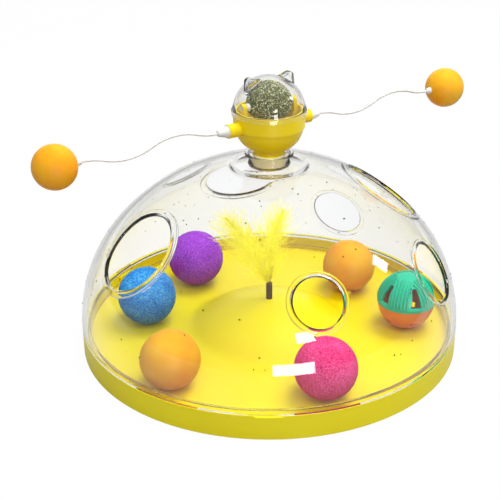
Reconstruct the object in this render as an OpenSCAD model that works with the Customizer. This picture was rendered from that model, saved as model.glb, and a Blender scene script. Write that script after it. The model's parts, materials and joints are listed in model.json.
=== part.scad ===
// Cat activity dome: a round tray under a clear dome with paw holes. A turning top on the dome carries
// a catnip ball under a lid and two springy arms with balls. A feather stands in the tray, and loose
// balls roll round it.
// Sizes are in millimetres. The origin is the middle of the surface that the feet stand on, +Z is up,
// and +X is to the right as seen from the front, which is -Y.

/* [Tray] */
// Outside diameter of the tray and of the dome that stands on it
tray_d = 250; // [220:1:300]
// Height of the tray's rim above the ground
rim_z = 17; // [14:0.5:30]
// Thickness of the tray's outer wall
tray_wall = 3; // [2.4:0.1:5]
// Height of the floor's upper face above the ground
floor_z = 7; // [6:0.5:9]
// Thickness of the floor and of its hump
floor_t = 2.4; // [1.6:0.1:3]
// Gap between the wall's lower edge and the ground
wall_lift = 1; // [0.5:0.1:1.8]
// Diameter of the hump in the middle of the floor
hump_d = 106; // [80:1:120]
// Height of the hump above the floor
hump_h = 20; // [12:0.5:26]
// Radius of the hollow blend at the hump's foot
hump_blend = 15; // [5:1:25]
// Thickness of the ribs under the floor
rib_t = 2; // [1.2:0.1:4]
// Number of ribs under the floor
rib_count = 8; // [4:1:16]

/* [Feet] */
// Diameter of a foot pad
pad_d = 14; // [8:0.5:24]
// Thickness of a foot pad
pad_t = 2; // [1.9:0.1:3.2]
// Distance from the tray's outside to the middle of a pad
pad_inset = 21; // [14:1:40]
// Width of the ring of tray that frames a pad
pad_frame = 1; // [0.5:0.1:3]

/* [Dome] */
// Radius of the side wall's curve, seen in section
dome_side_r = 95; // [80:1:108]
// How much higher the dome is than that radius
crown_rise = 13.6; // [8:0.1:30]
// Thickness of the clear wall
dome_t = 2.4; // [1.6:0.1:4]
// Depth of the skirt that plugs into the tray
skirt_h = 6; // [3:0.5:8]
// Thickness of that skirt
skirt_t = 2.2; // [1.4:0.1:4]
// Width of each lug on the skirt
lug_w = 16; // [8:0.5:30]
// How far each lug stands out of the skirt
lug_out = 1.4; // [0.8:0.1:1.8]
// Height of each lug
lug_h = 3.5; // [2:0.1:4]
// Width of the thumb notch at the front of the rim
thumb_w = 17; // [10:0.5:40]
// Height of that notch
thumb_h = 1; // [0.6:0.1:2]
// Diameter of the flat on the crown
crown_flat_d = 50; // [40:1:70]
// Size of the bevel round that flat
crown_bevel = 1; // [0.4:0.1:1.6]

/* [Paw holes] */
// Bore of the large paw holes
large_hole_d = 52; // [40:1:60]
// Bore of the middle paw holes
middle_hole_d = 37; // [28:1:44]
// Bore of the small paw holes
small_hole_d = 30; // [20:1:36]
// Thickness of the rounded bead on the large holes
large_bead_d = 5; // [3.4:0.1:6]
// Thickness of the rounded bead on the other holes
small_bead_d = 3.8; // [3.4:0.1:5]

/* [Collar] */
// Outside diameter of the collar that holds the turning top
collar_d = 26; // [22:0.5:36]
// Wall of the collar
collar_t = 2; // [1.4:0.1:3]
// Height of the collar above the crown
collar_up = 6; // [3:0.5:12]
// Depth of the collar below the crown
collar_down = 4.3; // [3:0.1:8]
// Thickness of the collar's floor
collar_floor_t = 2; // [1.4:0.1:3]
// Diameter of the lip round the collar's mouth
lip_d = 31; // [28:0.5:44]
// Thickness of that lip
lip_t = 1.6; // [1:0.1:2.4]

/* [Spindle] */
// Diameter of the spindle under the cup
spindle_d = 10; // [6:0.5:14]
// Length of the spindle below the collar's floor
spindle_below = 1.6; // [1.5:0.1:4]
// Depth of the bush below the collar's mouth
bush_sink = 1.8; // [1:0.1:3]
// Diameter of the washer that holds the spindle
washer_d = 15; // [12:0.5:20]
// Thickness of the washer
washer_t = 1.2; // [0.8:0.1:2]
// Diameter of the screw's head
screw_head_d = 7.6; // [5:0.1:10]
// Height of the screw's head
screw_head_h = 2.8; // [1.6:0.1:4]
// Diameter of the screw's shank
screw_d = 3; // [2:0.1:4]
// Length of the screw's shank
screw_l = 10; // [6:0.5:12]

/* [Cup] */
// Diameter of the cup's neck
neck_d = 19; // [15:0.5:20]
// Height of the straight neck
neck_h = 3.5; // [2:0.1:8]
// Outside diameter of the cup's band
cup_d = 45; // [41:0.5:56]
// Radius of the bowl's curve, seen in section
bowl_r = 16.6; // [14:0.1:18]
// How far the bowl stands inside the band
bowl_step = 0.9; // [0.4:0.1:1.6]
// Wall of the cup
cup_t = 2; // [1.4:0.1:3]
// Height of the band above the widest part of the bowl
band_up = 10; // [8:0.5:16]
// Depth of the band below the widest part of the bowl
band_down = 1; // [0.5:0.1:3]

/* [Catnip ball] */
// Diameter of the catnip ball
catnip_d = 29; // [24:0.5:30]
// Height of the ball's middle above the cup's rim
catnip_up = 3.3; // [2:0.1:4.5]
// Gap between the ball and each post
post_gap = 2.4; // [1:0.1:2.6]
// Thickness of a post
post_t = 2.5; // [1.6:0.1:2.6]
// Width of a post
post_w = 5; // [4.2:0.1:6]
// Diameter of the ball's axle
axle_d = 3; // [2:0.1:3.6]
// Diameter of the axle's collars
axle_collar_d = 5; // [4.2:0.1:7]

/* [Lid] */
// Height of the lid's top above the cup's rim
lid_rise = 20.8; // [20.2:0.1:24]
// Wall of the lid
lid_t = 1.3; // [0.8:0.1:1.4]
// Depth of the lid's skirt below the cup's rim
lid_skirt_h = 3; // [2:0.1:4.4]
// Wall of the lid's skirt
lid_skirt_t = 0.9; // [0.6:0.1:1.6]
// Width of an ear at its foot
ear_w = 13; // [9:0.5:16]
// How far an ear stands out of the lid
ear_up = 5; // [4:0.1:9]
// Thickness of an ear from front to back
ear_t = 5; // [4:0.1:8]
// Slope of an ear's middle line above the level
ear_slope = 56; // [40:1:65]

/* [Arms] */
// Turn of the arms about the upright axis
arm_turn = 32; // [0:1:60]
// Distance from the axis to the middle of an end ball
arm_reach = 141.6; // [120:0.1:170]
// Diameter of the cup's side spigots
spigot_d = 8.7; // [7:0.1:9.6]
// Distance from the axis to a spigot's end
spigot_reach = 30; // [28:0.5:40]
// Depth of the spigots' axis below the cup's rim
spigot_drop = 9.5; // [8.5:0.1:10]
// Diameter of the sleeve's stem in its spigot
sleeve_stem_d = 5; // [3.6:0.1:6]
// Length of the sleeve's stem in its spigot
sleeve_stem_l = 6; // [3:0.5:7]
// Diameter of the sleeve's foot
sleeve_d = 7.6; // [6.4:0.1:9]
// Diameter of the sleeve's tip
sleeve_tip_d = 3.6; // [3.2:0.1:4.4]
// Length of the sleeve's cone
sleeve_l = 6.6; // [4:0.1:12]
// Diameter of the wire
wire_d = 1.6; // [1.2:0.1:2]
// Diameter of the round root of the wire
wire_root_d = 2.2; // [2.1:0.1:2.6]
// Slope to which the wire bends at the start of its first wave
wave_slope = 19; // [8:1:30]
// Diameter of an end ball
end_ball_d = 26.4; // [18:0.1:36]
// Diameter of the plug where the wire meets the ball
tip_plug_d = 4.6; // [3:0.1:6]
// Length of the plug outside the ball
tip_plug_out = 2.6; // [1:0.1:6]
// Length of the plug inside the ball
tip_plug_in = 4; // [2:0.1:8]

/* [Feather] */
// Diameter of the feather's ferrule
ferrule_d = 4.2; // [3:0.1:6]
// Height of the ferrule above the hump
ferrule_up = 11.4; // [6:0.1:20]
// Depth of the ferrule's socket
socket_l = 8; // [5:0.5:9]
// Wall round the ferrule's socket
socket_wall = 2.4; // [1.4:0.1:4]
// Diameter of a quill
quill_d = 1.6; // [1:0.1:2]
// Bare length of a quill
quill_l = 13; // [10:0.5:20]
// Gap between the left plume's tip and the screw above it
left_plume_gap = 23; // [8:1:40]
// Gap between the right plume's tip and the screw above it
right_plume_gap = 17; // [8:1:40]
// Lean of the left plume from the upright
left_plume_lean = 28; // [18:1:34]
// Lean of the right plume from the upright
right_plume_lean = 12; // [10:1:30]
// Width of the left plume
left_plume_w = 20; // [8:0.5:22]
// Width of the right plume
right_plume_w = 17; // [8:0.5:18]

/* [Loose balls] */
// Diameter of the blue plush ball
blue_d = 39.5; // [30:0.5:44]
// Diameter of the purple plush ball
purple_d = 40; // [30:0.5:44]
// Diameter of the pink plush ball
pink_d = 39; // [30:0.5:44]
// Diameter of the two orange balls
orange_d = 37.2; // [30:0.1:44]
// Diameter of the bell ball
bell_ball_d = 38; // [32:0.5:44]
// Gap between the blue ball and the wall
blue_gap = 17; // [4:0.5:22]
// Gap between the purple ball and the wall
purple_gap = 18.3; // [4:0.1:22]
// Gap between the pink ball and the wall
pink_gap = 5.6; // [4:0.1:22]
// Gap between the rear orange ball and the wall
rear_orange_gap = 24; // [4:0.5:26]
// Gap between the front orange ball and the wall
front_orange_gap = 3.5; // [3:0.1:22]
// Gap between the bell ball and the wall
bell_ball_gap = 8.4; // [4:0.1:22]

/* [Bell ball] */
// Wall of the bell ball
bell_ball_t = 1.8; // [1.2:0.1:2.6]
// Height of the band round the upper half's edge
bell_band_h = 2; // [1:0.1:4]
// How far that band stands out
bell_band_out = 0.5; // [0.2:0.1:1]
// Number of windows round the upper half, and of slots round the lower
window_count = 5; // [3:1:6]
// Width of a window at its foot
window_w = 7.6; // [4:0.1:9]
// Width of a window at its top
window_top_w = 4; // [2:0.1:6]
// Height of a window
window_h = 12; // [6:0.1:13]
// Height of a slot
slot_h = 3.6; // [2:0.1:5]
// Width of a slot
slot_w = 6.2; // [3:0.1:8]
// Diameter of the jingle bell
bell_d = 13; // [9:0.5:16]
// Wall of the jingle bell
bell_t = 0.8; // [0.5:0.1:1.2]
// Width of the jingle bell's mouth
bell_mouth_w = 1.8; // [1:0.1:2.4]
// Diameter of the pellet in the jingle bell
pellet_d = 3.4; // [2.6:0.1:5]

/* [Fits] */
// Gap between a loose or lifting piece and its seat
seat_gap = 0.3; // [0.2:0.05:0.5]
// Radial gap round a turning shaft
run_gap = 0.06; // [0.03:0.01:0.1]
// Radial gap between pieces that are pushed together
push_gap = 0.05; // [0.02:0.01:0.1]
// Gap between the dome's skirt and the tray's wall
skirt_gap = 0.3; // [0.2:0.05:0.6]

/* [Hidden] */
$fn = 96;
// A small overlap that lets joined shapes run into each other
eps = 0.05;
// A length that reaches past the whole object
far = 400;

// Tray
tray_r = tray_d / 2;
wall_in_r = tray_r - tray_wall;
hump_r = hump_d / 2;
hump_ball_r = (hump_r * hump_r + hump_h * hump_h) / (2 * hump_h);
hump_top_z = floor_z + hump_h;
hump_mid_z = hump_top_z - hump_ball_r;
blend_z = floor_z + hump_blend;
blend_r = sqrt(pow(hump_ball_r + hump_blend, 2) - pow(blend_z - hump_mid_z, 2));
blend_share = hump_ball_r / (hump_ball_r + hump_blend);
blend_lap = 1;
pad_ring_r = tray_r - pad_inset;
pad_count = 4;
floor_under_z = floor_z - floor_t;

// Dome: a side curve and a crown curve that meet smoothly at the join's slope
dome_h = dome_side_r + crown_rise;
dome_z = rim_z + seat_gap;
side_mid_r = tray_r - dome_side_r;
crown_r = (side_mid_r * side_mid_r + dome_h * dome_h - dome_side_r * dome_side_r) / (2 * crown_rise);
crown_z = dome_z + dome_h;
crown_mid_z = crown_z - crown_r;
join_slope = atan2(dome_z - crown_mid_z, side_mid_r);
// The crown's wall is a hair thinner than the side's and starts a little inside it: a mould line
mould_step = 0.05;
mould_overlap = 0.8;
skirt_r = wall_in_r - skirt_gap;
skirt_in_r = skirt_r - skirt_t;
foot_ring_h = dome_t;
LUG_TURNS = [-90, 30, 150];
bead_deep = 0.6;
bead_bevel = 0.28;

// Paw holes: turn about the upright axis, slope of the hole's axis, bore and bead
HOLES = [
    [-149, 45, large_hole_d, large_bead_d],
    [11, 55.5, large_hole_d, large_bead_d],
    [102, 40.5, large_hole_d, large_bead_d],
    [-21, 32, middle_hole_d, small_bead_d],
    [64, 17, middle_hole_d, small_bead_d],
    [-74, 39.5, small_hole_d, small_bead_d],
    [135, 51.5, small_hole_d, small_bead_d]
];

// Collar, bush and spindle
collar_r = collar_d / 2;
collar_in_r = collar_r - collar_t;
collar_top_z = crown_z + collar_up;
collar_foot_z = crown_z - collar_down;
bush_foot_z = collar_foot_z + collar_floor_t + push_gap;
bush_top_z = collar_top_z - bush_sink;
spindle_foot_z = collar_foot_z - spindle_below;
washer_top_z = spindle_foot_z;
screw_tip_z = washer_top_z - washer_t - screw_head_h;

// Cup
neck_z = bush_top_z + seat_gap;
neck_r = neck_d / 2;
cup_r = cup_d / 2;
bowl_mid_r = cup_r - bowl_step - bowl_r;
bowl_z = neck_z + neck_h + sqrt(bowl_r * bowl_r - pow(neck_r - bowl_mid_r, 2));
rim_top_z = bowl_z + band_up;
cup_in_r = cup_r - cup_t;
arm_z = rim_top_z - spigot_drop;

// Catnip ball
catnip_r = catnip_d / 2;
catnip_z = rim_top_z + catnip_up;
post_in = catnip_r + post_gap;
post_out = post_in + post_t;

// Lid: a cap of a ball that stands on the cup's rim
lid_skirt_in_r = cup_r + skirt_gap;
lid_skirt_r = lid_skirt_in_r + lid_skirt_t;
lid_seat_z = rim_top_z + seat_gap;
lid_ball_r = (lid_skirt_in_r * lid_skirt_in_r + lid_rise * lid_rise) / (2 * lid_rise);
lid_mid_z = lid_seat_z + lid_rise - lid_ball_r;
ear_tip_steps = 8;

// Arms: the wire leaves its root level, bends to one slope, crosses the axis at a steeper one, and does
// the same the other way round on its outer half, so four arcs of one radius make two waves
root_x = spigot_reach + sleeve_l;
plug_x = arm_reach - end_ball_d / 2 - tip_plug_out;
plug_end_x = arm_reach - end_ball_d / 2 + tip_plug_in;
wave_lead = 1.5;
wave_start_x = root_x + wave_lead;
wave_end_x = plug_x - wave_lead;
cross_slope = acos(2 * cos(wave_slope) - 1);
wave_r = (wave_end_x - wave_start_x) / 2 / (2 * sin(wave_slope) + sin(cross_slope));
wave_step_x = wave_r * sin(wave_slope);
wave_step_z = wave_r * (1 - cos(wave_slope));
wire_root_gap = 0.1;
wire_sides = 12;
wire_rings = 6;

// Feather
feather_foot_z = hump_top_z + ferrule_up;

// Loose balls: turn about the upright axis, diameter and gap to the wall
BLUE = [177.5, blue_d, blue_gap];
PURPLE = [131, purple_d, purple_gap];
PINK = [-69, pink_d, pink_gap];
REAR_ORANGE = [42, orange_d, rear_orange_gap];
FRONT_ORANGE = [-128, orange_d, front_orange_gap];
BELL = [-1, bell_ball_d, bell_ball_gap];
ball_floor_z = floor_z + seat_gap;
function ball_z(b) = ball_floor_z + b[1] / 2;
function ball_r(b) = skirt_in_r - b[2] - b[1] / 2;

// Bell ball
bell_ball_r = bell_ball_d / 2;
bell_in_r = bell_ball_r - bell_ball_t;
window_turn = -75.5;
window_sill = 0.5;
slot_slope = 36;
bell_hang = bell_in_r - bell_d / 2 - seat_gap;
pellet_hang = bell_d / 2 - bell_t - pellet_d / 2 - seat_gap;

// Shared shapes

// A plain ring with an upright axis
module ring(outer_r, inner_r, low_z, high_z) {
    translate([0, 0, low_z]) difference() {
        cylinder(r = outer_r, h = high_z - low_z);
        translate([0, 0, -eps]) cylinder(r = inner_r, h = high_z - low_z + 2 * eps);
    }
}

// A round bar along +X
module bar_x(d, from_x, to_x) {
    translate([from_x, 0, 0]) rotate([0, 90, 0]) cylinder(d = d, h = to_x - from_x);
}

// A block that is centred across its turn about the upright axis
module turned_block(turn, from_r, to_r, width, low_z, high_z) {
    rotate([0, 0, turn])
        translate([from_r, -width / 2, low_z]) cube([to_r - from_r, width, high_z - low_z]);
}

// Places its child on the arm's axis, +X outwards: side is 1 on the right and -1 on the left
module on_arm(side) {
    translate([0, 0, arm_z]) rotate([0, 0, arm_turn + (side < 0 ? 180 : 0)]) children();
}

// Places its child at a loose ball's middle, with +X pointing away from the tray's axis
module at_ball(b) {
    rotate([0, 0, b[0]]) translate([ball_r(b), 0, ball_z(b)]) children();
}

// Tray

// The hump and the hollow blend at its foot, in section
module hump_section() {
    difference() {
        intersection() {
            translate([0, hump_mid_z]) circle(r = hump_ball_r);
            translate([0, floor_under_z]) square([blend_r, hump_h + floor_t]);
        }
        translate([0, hump_mid_z]) circle(r = hump_ball_r - floor_t);
    }
}

module hump_blend_section() {
    low_r = blend_r * blend_share;
    difference() {
        polygon([
            [low_r, hump_mid_z + (blend_z - hump_mid_z) * blend_share],
            [blend_r, floor_z],
            [blend_r, floor_z - eps],
            [low_r - blend_lap, floor_z - eps]
        ]);
        translate([blend_r, blend_z]) circle(r = hump_blend);
    }
}

module base_tray() {
    hump_in_r = sqrt(pow(hump_ball_r - floor_t, 2) - pow(floor_under_z - hump_mid_z, 2));
    socket_r = ferrule_d / 2 + push_gap;
    color("gold") difference() {
        union() {
            ring(tray_r, wall_in_r, wall_lift, rim_z);
            ring(wall_in_r + eps, hump_in_r, floor_under_z, floor_z);
            rotate_extrude() hump_section();
            rotate_extrude() hump_blend_section();
            translate([0, 0, hump_top_z - socket_l - socket_wall])
                cylinder(r = socket_r + socket_wall, h = socket_l + socket_wall - floor_t / 2);
            for (i = [0 : rib_count - 1])
                turned_block((i + 0.5) * 360 / rib_count, hump_r, wall_in_r + eps, rib_t,
                    wall_lift, floor_under_z + eps);
            for (i = [0 : pad_count - 1])
                rotate([0, 0, i * 360 / pad_count]) translate([pad_ring_r, 0, pad_t])
                    cylinder(d = pad_d + 2 * pad_frame, h = floor_under_z - pad_t + eps);
        }
        translate([0, 0, hump_top_z - socket_l]) cylinder(r = socket_r, h = far);
        for (turn = LUG_TURNS)
            turned_block(turn, skirt_in_r, skirt_r + lug_out + skirt_gap, lug_w + 2 * skirt_gap,
                rim_z - skirt_h - seat_gap, far);
        turned_block(-90, wall_in_r - eps, far, thumb_w, rim_z - thumb_h, far);
    }
}

module foot_pads() {
    color("dimgray")
        for (i = [0 : pad_count - 1])
            rotate([0, 0, i * 360 / pad_count]) translate([pad_ring_r, 0, 0])
                cylinder(d = pad_d, h = pad_t);
}

// Feather

module feather_ferrule() {
    color("saddlebrown") translate([0, 0, hump_top_z - socket_l + push_gap])
        cylinder(d = ferrule_d, h = feather_foot_z - hump_top_z + socket_l - push_gap);
}

module feather_quills() {
    color("darkkhaki")
        for (lean = [-left_plume_lean, right_plume_lean])
            translate([0, 0, feather_foot_z]) intersection() {
                rotate([0, lean, 0]) translate([0, 0, -quill_d]) cylinder(d = quill_d, h = quill_l + quill_d);
                translate([-far / 2, -far / 2, 0]) cube(far);
            }
}

// A soft plume: a slim spindle with flat ends, which starts where its quill ends
module plume(lean, width, top_gap) {
    top = (screw_tip_z - top_gap - feather_foot_z) / cos(lean);
    length = top - quill_l;
    curve_r = (length * length / 4 + width * width / 4) / width;
    end_flat = quill_d / 2;
    half = sqrt(curve_r * curve_r - pow(curve_r - width / 2 + end_flat, 2));
    translate([0, 0, feather_foot_z]) rotate([0, lean, 0]) translate([0, 0, quill_l + half])
        rotate_extrude() intersection() {
            translate([width / 2 - curve_r, 0]) circle(r = curve_r);
            translate([0, -half]) square([width, 2 * half]);
        }
}

module feather_plume_left() {
    color("yellow") plume(-left_plume_lean, left_plume_w, left_plume_gap);
}

module feather_plume_right() {
    color("yellow") plume(right_plume_lean, right_plume_w, right_plume_gap);
}

// Dome

// A sector of a round wall in section, between two slopes, about a middle point
module wall_sector(mid_r, mid_z, outer_r, inner_r, from_slope, to_slope) {
    reach = 2 * outer_r;
    intersection() {
        translate([mid_r, mid_z]) difference() {
            circle(r = outer_r);
            circle(r = inner_r);
        }
        polygon([
            [mid_r, mid_z],
            [mid_r + reach * cos(from_slope), mid_z + reach * sin(from_slope)],
            [mid_r + reach * cos(to_slope), mid_z + reach * sin(to_slope)]
        ]);
        translate([0, dome_z]) square([reach, reach]);
    }
}

// Places its child where a paw hole meets the wall, with +Z along the hole, pointing out
module at_hole(hole) {
    on_crown = hole[1] >= join_slope;
    mid_r = on_crown ? 0 : side_mid_r;
    mid_z = on_crown ? crown_mid_z : dome_z;
    arc_r = (on_crown ? crown_r : dome_side_r) - dome_t / 2;
    ring_r = hole[2] / 2 + hole[3] / 2;
    across_r = mid_r / cos(hole[1]) + arc_r;
    dip = ring_r * ring_r / 4 * (1 / arc_r + 1 / across_r);
    rotate([0, 0, hole[0]]) translate([mid_r, 0, mid_z]) rotate([0, 90 - hole[1], 0])
        translate([0, 0, arc_r - dip]) children();
}

// The thick rim of a paw hole, with all its edges bevelled
module hole_bead(hole) {
    in_r = hole[2] / 2;
    out_r = in_r + hole[3];
    half = hole[3] / 2 + bead_deep;
    bevel = hole[3] * bead_bevel;
    rotate_extrude() polygon([
        [in_r, bevel - half], [in_r + bevel, -half], [out_r - bevel, -half], [out_r, bevel - half],
        [out_r, half - bevel], [out_r - bevel, half], [in_r + bevel, half], [in_r, half - bevel]
    ]);
}

module crown_flat() {
    flat_r = crown_flat_d / 2;
    low_z = crown_mid_z + sqrt(pow(crown_r - dome_t / 2, 2) - flat_r * flat_r);
    translate([0, 0, low_z]) cylinder(r = flat_r, h = crown_z - crown_bevel - low_z);
    translate([0, 0, crown_z - crown_bevel])
        cylinder(r1 = flat_r, r2 = flat_r - crown_bevel, h = crown_bevel);
}

module dome() {
    color("white", 0.35) difference() {
        union() {
            difference() {
                rotate_extrude() {
                    wall_sector(side_mid_r, dome_z, dome_side_r, dome_side_r - dome_t, 0, join_slope);
                    wall_sector(0, crown_mid_z, crown_r - mould_step, crown_r - dome_t + mould_step,
                        join_slope - mould_overlap, 90);
                }
                for (hole = HOLES)
                    at_hole(hole) cylinder(r = hole[2] / 2 + hole[3] / 2, h = hole[2], center = true);
            }
            for (hole = HOLES) at_hole(hole) hole_bead(hole);
            ring(tray_r, skirt_in_r, dome_z, dome_z + foot_ring_h);
            ring(skirt_r, skirt_in_r, rim_z - skirt_h, dome_z + eps);
            for (turn = LUG_TURNS)
                intersection() {
                    ring(skirt_r + lug_out, skirt_in_r, rim_z - skirt_h, rim_z - skirt_h + lug_h);
                    turned_block(turn, skirt_in_r, far, lug_w, 0, far);
                }
            crown_flat();
            translate([0, 0, collar_foot_z]) cylinder(r = collar_r, h = collar_top_z - collar_foot_z);
            translate([0, 0, collar_top_z - lip_t]) cylinder(d = lip_d, h = lip_t);
        }
        translate([0, 0, collar_foot_z + collar_floor_t]) cylinder(r = collar_in_r, h = far);
        cylinder(d = spindle_d + 2 * seat_gap, h = far);
    }
}

module spindle_bush() {
    color("antiquewhite") ring(collar_in_r - push_gap, spindle_d / 2 + run_gap, bush_foot_z, bush_top_z);
}

// Turning top

// The cup's wall in section: the neck, the bowl and the band
module cup_section() {
    difference() {
        union() {
            translate([0, neck_z]) square([neck_r, bowl_z - neck_z]);
            intersection() {
                translate([bowl_mid_r, bowl_z]) circle(r = bowl_r);
                translate([0, neck_z]) square([cup_r, bowl_z - neck_z]);
            }
            translate([0, bowl_z - band_down]) square([cup_r, band_up + band_down]);
        }
        intersection() {
            translate([bowl_mid_r, bowl_z]) circle(r = bowl_r - cup_t);
            translate([0, neck_z]) square([cup_r, bowl_z - neck_z]);
        }
        translate([0, bowl_z - bowl_r + cup_t]) square([bowl_mid_r, bowl_r]);
        translate([0, bowl_z]) square([cup_in_r, band_up + eps]);
    }
}

// A post that holds one end of the catnip ball's axle, and its web into the cup's wall
module post(side) {
    rotate([0, 0, arm_turn + (side < 0 ? 180 : 0)]) {
        translate([post_in, -post_w / 2, bowl_z]) cube([post_t, post_w, catnip_z - bowl_z]);
        translate([post_in, -post_w / 2, bowl_z]) cube([cup_in_r - post_in + eps, post_w, band_up - band_down]);
        translate([0, 0, catnip_z]) bar_x(post_w, post_in, post_out);
    }
}

module rotor_cup() {
    color("gold") difference() {
        union() {
            rotate_extrude() cup_section();
            translate([0, 0, spindle_foot_z]) cylinder(d = spindle_d, h = neck_z - spindle_foot_z + eps);
            for (side = [-1, 1]) {
                post(side);
                on_arm(side) bar_x(spigot_d, cup_in_r + eps, spigot_reach);
            }
        }
        translate([0, 0, spindle_foot_z - eps]) cylinder(r = screw_d / 2 + push_gap, h = screw_l + eps);
        for (side = [-1, 1])
            on_arm(side) bar_x(sleeve_stem_d + 2 * push_gap, spigot_reach - sleeve_stem_l, far);
        translate([0, 0, catnip_z]) rotate([0, 0, arm_turn]) bar_x(axle_d + 2 * run_gap, -far, far);
    }
}

module rotor_washer() {
    color("silver")
        ring(washer_d / 2, screw_d / 2 + push_gap, washer_top_z - washer_t, washer_top_z);
}

// A pan-head screw with a crossed recess
module rotor_screw() {
    recess_w = screw_head_d / 6;
    head_z = washer_top_z - washer_t - screw_head_h;
    color("goldenrod") difference() {
        union() {
            translate([0, 0, head_z + screw_head_h / 2]) cylinder(d = screw_head_d, h = screw_head_h / 2);
            translate([0, 0, head_z])
                cylinder(d1 = screw_head_d * 0.7, d2 = screw_head_d, h = screw_head_h / 2);
            translate([0, 0, head_z]) cylinder(d = screw_d, h = screw_head_h + washer_t + screw_l - push_gap);
        }
        for (turn = [0, 90])
            turned_block(turn, -screw_head_d / 4, screw_head_d / 4, recess_w, 0, head_z + screw_head_h / 2);
    }
}

// A white sleeve that plugs into a spigot and tapers to the wire's root
module arm_sleeve(side) {
    on_arm(side) difference() {
        union() {
            bar_x(sleeve_stem_d, spigot_reach - sleeve_stem_l + push_gap, spigot_reach + eps);
            translate([spigot_reach, 0, 0]) rotate([0, 90, 0])
                cylinder(d1 = sleeve_d, d2 = sleeve_tip_d, h = sleeve_l + seat_gap);
        }
        translate([root_x, 0, 0]) sphere(d = wire_root_d + 2 * wire_root_gap, $fn = 48);
    }
}

module arm_sleeve_left() {
    color("white") arm_sleeve(-1);
}

module arm_sleeve_right() {
    color("white") arm_sleeve(1);
}

// Points along one arc of the wire: distance out, height and slope, from the arc's start up to its end
function wire_arc(x, z, slope, turn, count) = [
    for (i = [0 : count - 1])
        let (now = slope + turn * i / count, bend = turn > 0 ? 1 : -1)
            [x + bend * wave_r * (sin(now) - sin(slope)), z - bend * wave_r * (cos(now) - cos(slope)), now]
];

// The whole wire's middle line: a straight lead, four arcs that make two waves, and a straight end
function wire_path(up) = let (sweep = wave_slope + cross_slope) concat(
    [[root_x, 0, 0]],
    wire_arc(wave_start_x, 0, 0, up * wave_slope, wire_rings),
    wire_arc(wave_start_x + wave_step_x, up * wave_step_z, up * wave_slope, -up * sweep, 2 * wire_rings),
    wire_arc((wave_start_x + wave_end_x) / 2, 0, -up * cross_slope, up * sweep, 2 * wire_rings),
    wire_arc(wave_end_x - wave_step_x, -up * wave_step_z, up * wave_slope, -up * wave_slope, wire_rings),
    [[wave_end_x, 0, 0], [plug_end_x - push_gap, 0, 0]]
);

// A closed tube along a path in the X-Z plane
module tube(path, d, sides) {
    last = len(path) - 1;
    points = [
        for (p = path, k = [0 : sides - 1])
            let (a = 360 * k / sides)
                [p[0] - d / 2 * cos(a) * sin(p[2]), d / 2 * sin(a), p[1] + d / 2 * cos(a) * cos(p[2])]
    ];
    walls = [
        for (i = [0 : last - 1], k = [0 : sides - 1])
            let (here = i * sides + k, beside = i * sides + (k + 1) % sides)
                each [[here, beside, here + sides], [beside, beside + sides, here + sides]]
    ];
    far_ring = last * sides;
    ends = [for (k = [1 : sides - 2]) each [[0, k + 1, k], [far_ring, far_ring + k, far_ring + k + 1]]];
    polyhedron(points, concat(walls, ends));
}

// The wire and the round root that lets it swing in its sleeve
module arm_wire(side) {
    on_arm(side) {
        translate([root_x, 0, 0]) rotate([0, 0, 90]) sphere(d = wire_root_d, $fn = 48);
        tube(wire_path(-side), wire_d, wire_sides);
    }
}

module arm_wire_left() {
    color("whitesmoke") arm_wire(-1);
}

module arm_wire_right() {
    color("whitesmoke") arm_wire(1);
}

module ball_plug(side) {
    on_arm(side) difference() {
        union() {
            bar_x(tip_plug_d, plug_x + tip_plug_out, plug_end_x);
            translate([plug_x, 0, 0]) rotate([0, 90, 0])
                cylinder(d1 = tip_plug_d * 0.7, d2 = tip_plug_d, h = tip_plug_out + eps);
        }
        bar_x(wire_d + 2 * push_gap, plug_x - eps, plug_end_x + eps);
    }
}

module ball_plug_left() {
    color("white") ball_plug(-1);
}

module ball_plug_right() {
    color("white") ball_plug(1);
}

module end_ball(side) {
    on_arm(side) difference() {
        translate([arm_reach, 0, 0]) sphere(d = end_ball_d);
        bar_x(tip_plug_d + 2 * push_gap, plug_x, plug_end_x + push_gap);
    }
}

module end_ball_left() {
    color("orange") end_ball(-1);
}

module end_ball_right() {
    color("orange") end_ball(1);
}

// Catnip ball and lid

module catnip_ball() {
    color("darkolivegreen") translate([0, 0, catnip_z]) rotate([0, 0, arm_turn]) difference() {
        rotate([0, 0, 90]) sphere(d = catnip_d);
        bar_x(axle_d + 2 * push_gap, -far, far);
    }
}

module catnip_axle() {
    color("ivory") translate([0, 0, catnip_z]) rotate([0, 0, arm_turn]) {
        bar_x(axle_d, -post_out, post_out);
        for (turn = [0, 180])
            rotate([0, 0, turn]) bar_x(axle_collar_d, catnip_r, post_in - seat_gap);
    }
}

// A hollow ear, drawn upright: a triangle that stands on the lid's middle, with straight sides that run
// from its shoulders to a round tip
module ear_wedge(foot, top, thick) {
    half = foot / 2;
    shoulder = lid_ball_r - foot / 6;
    tip_r = foot / 5;
    tip_mid = top - tip_r;
    tip_from = acos(tip_r / norm([half, tip_mid - shoulder])) - atan2(tip_mid - shoulder, half);
    tip_arc = [
        for (i = [0 : ear_tip_steps])
            let (a = tip_from + (180 - 2 * tip_from) * i / ear_tip_steps)
                [tip_r * cos(a), tip_mid + tip_r * sin(a)]
    ];
    translate([0, thick / 2, 0]) rotate([90, 0, 0]) linear_extrude(height = thick)
        polygon(concat([[-half, shoulder], [-half, 0], [half, 0], [half, shoulder]], tip_arc));
}

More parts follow.
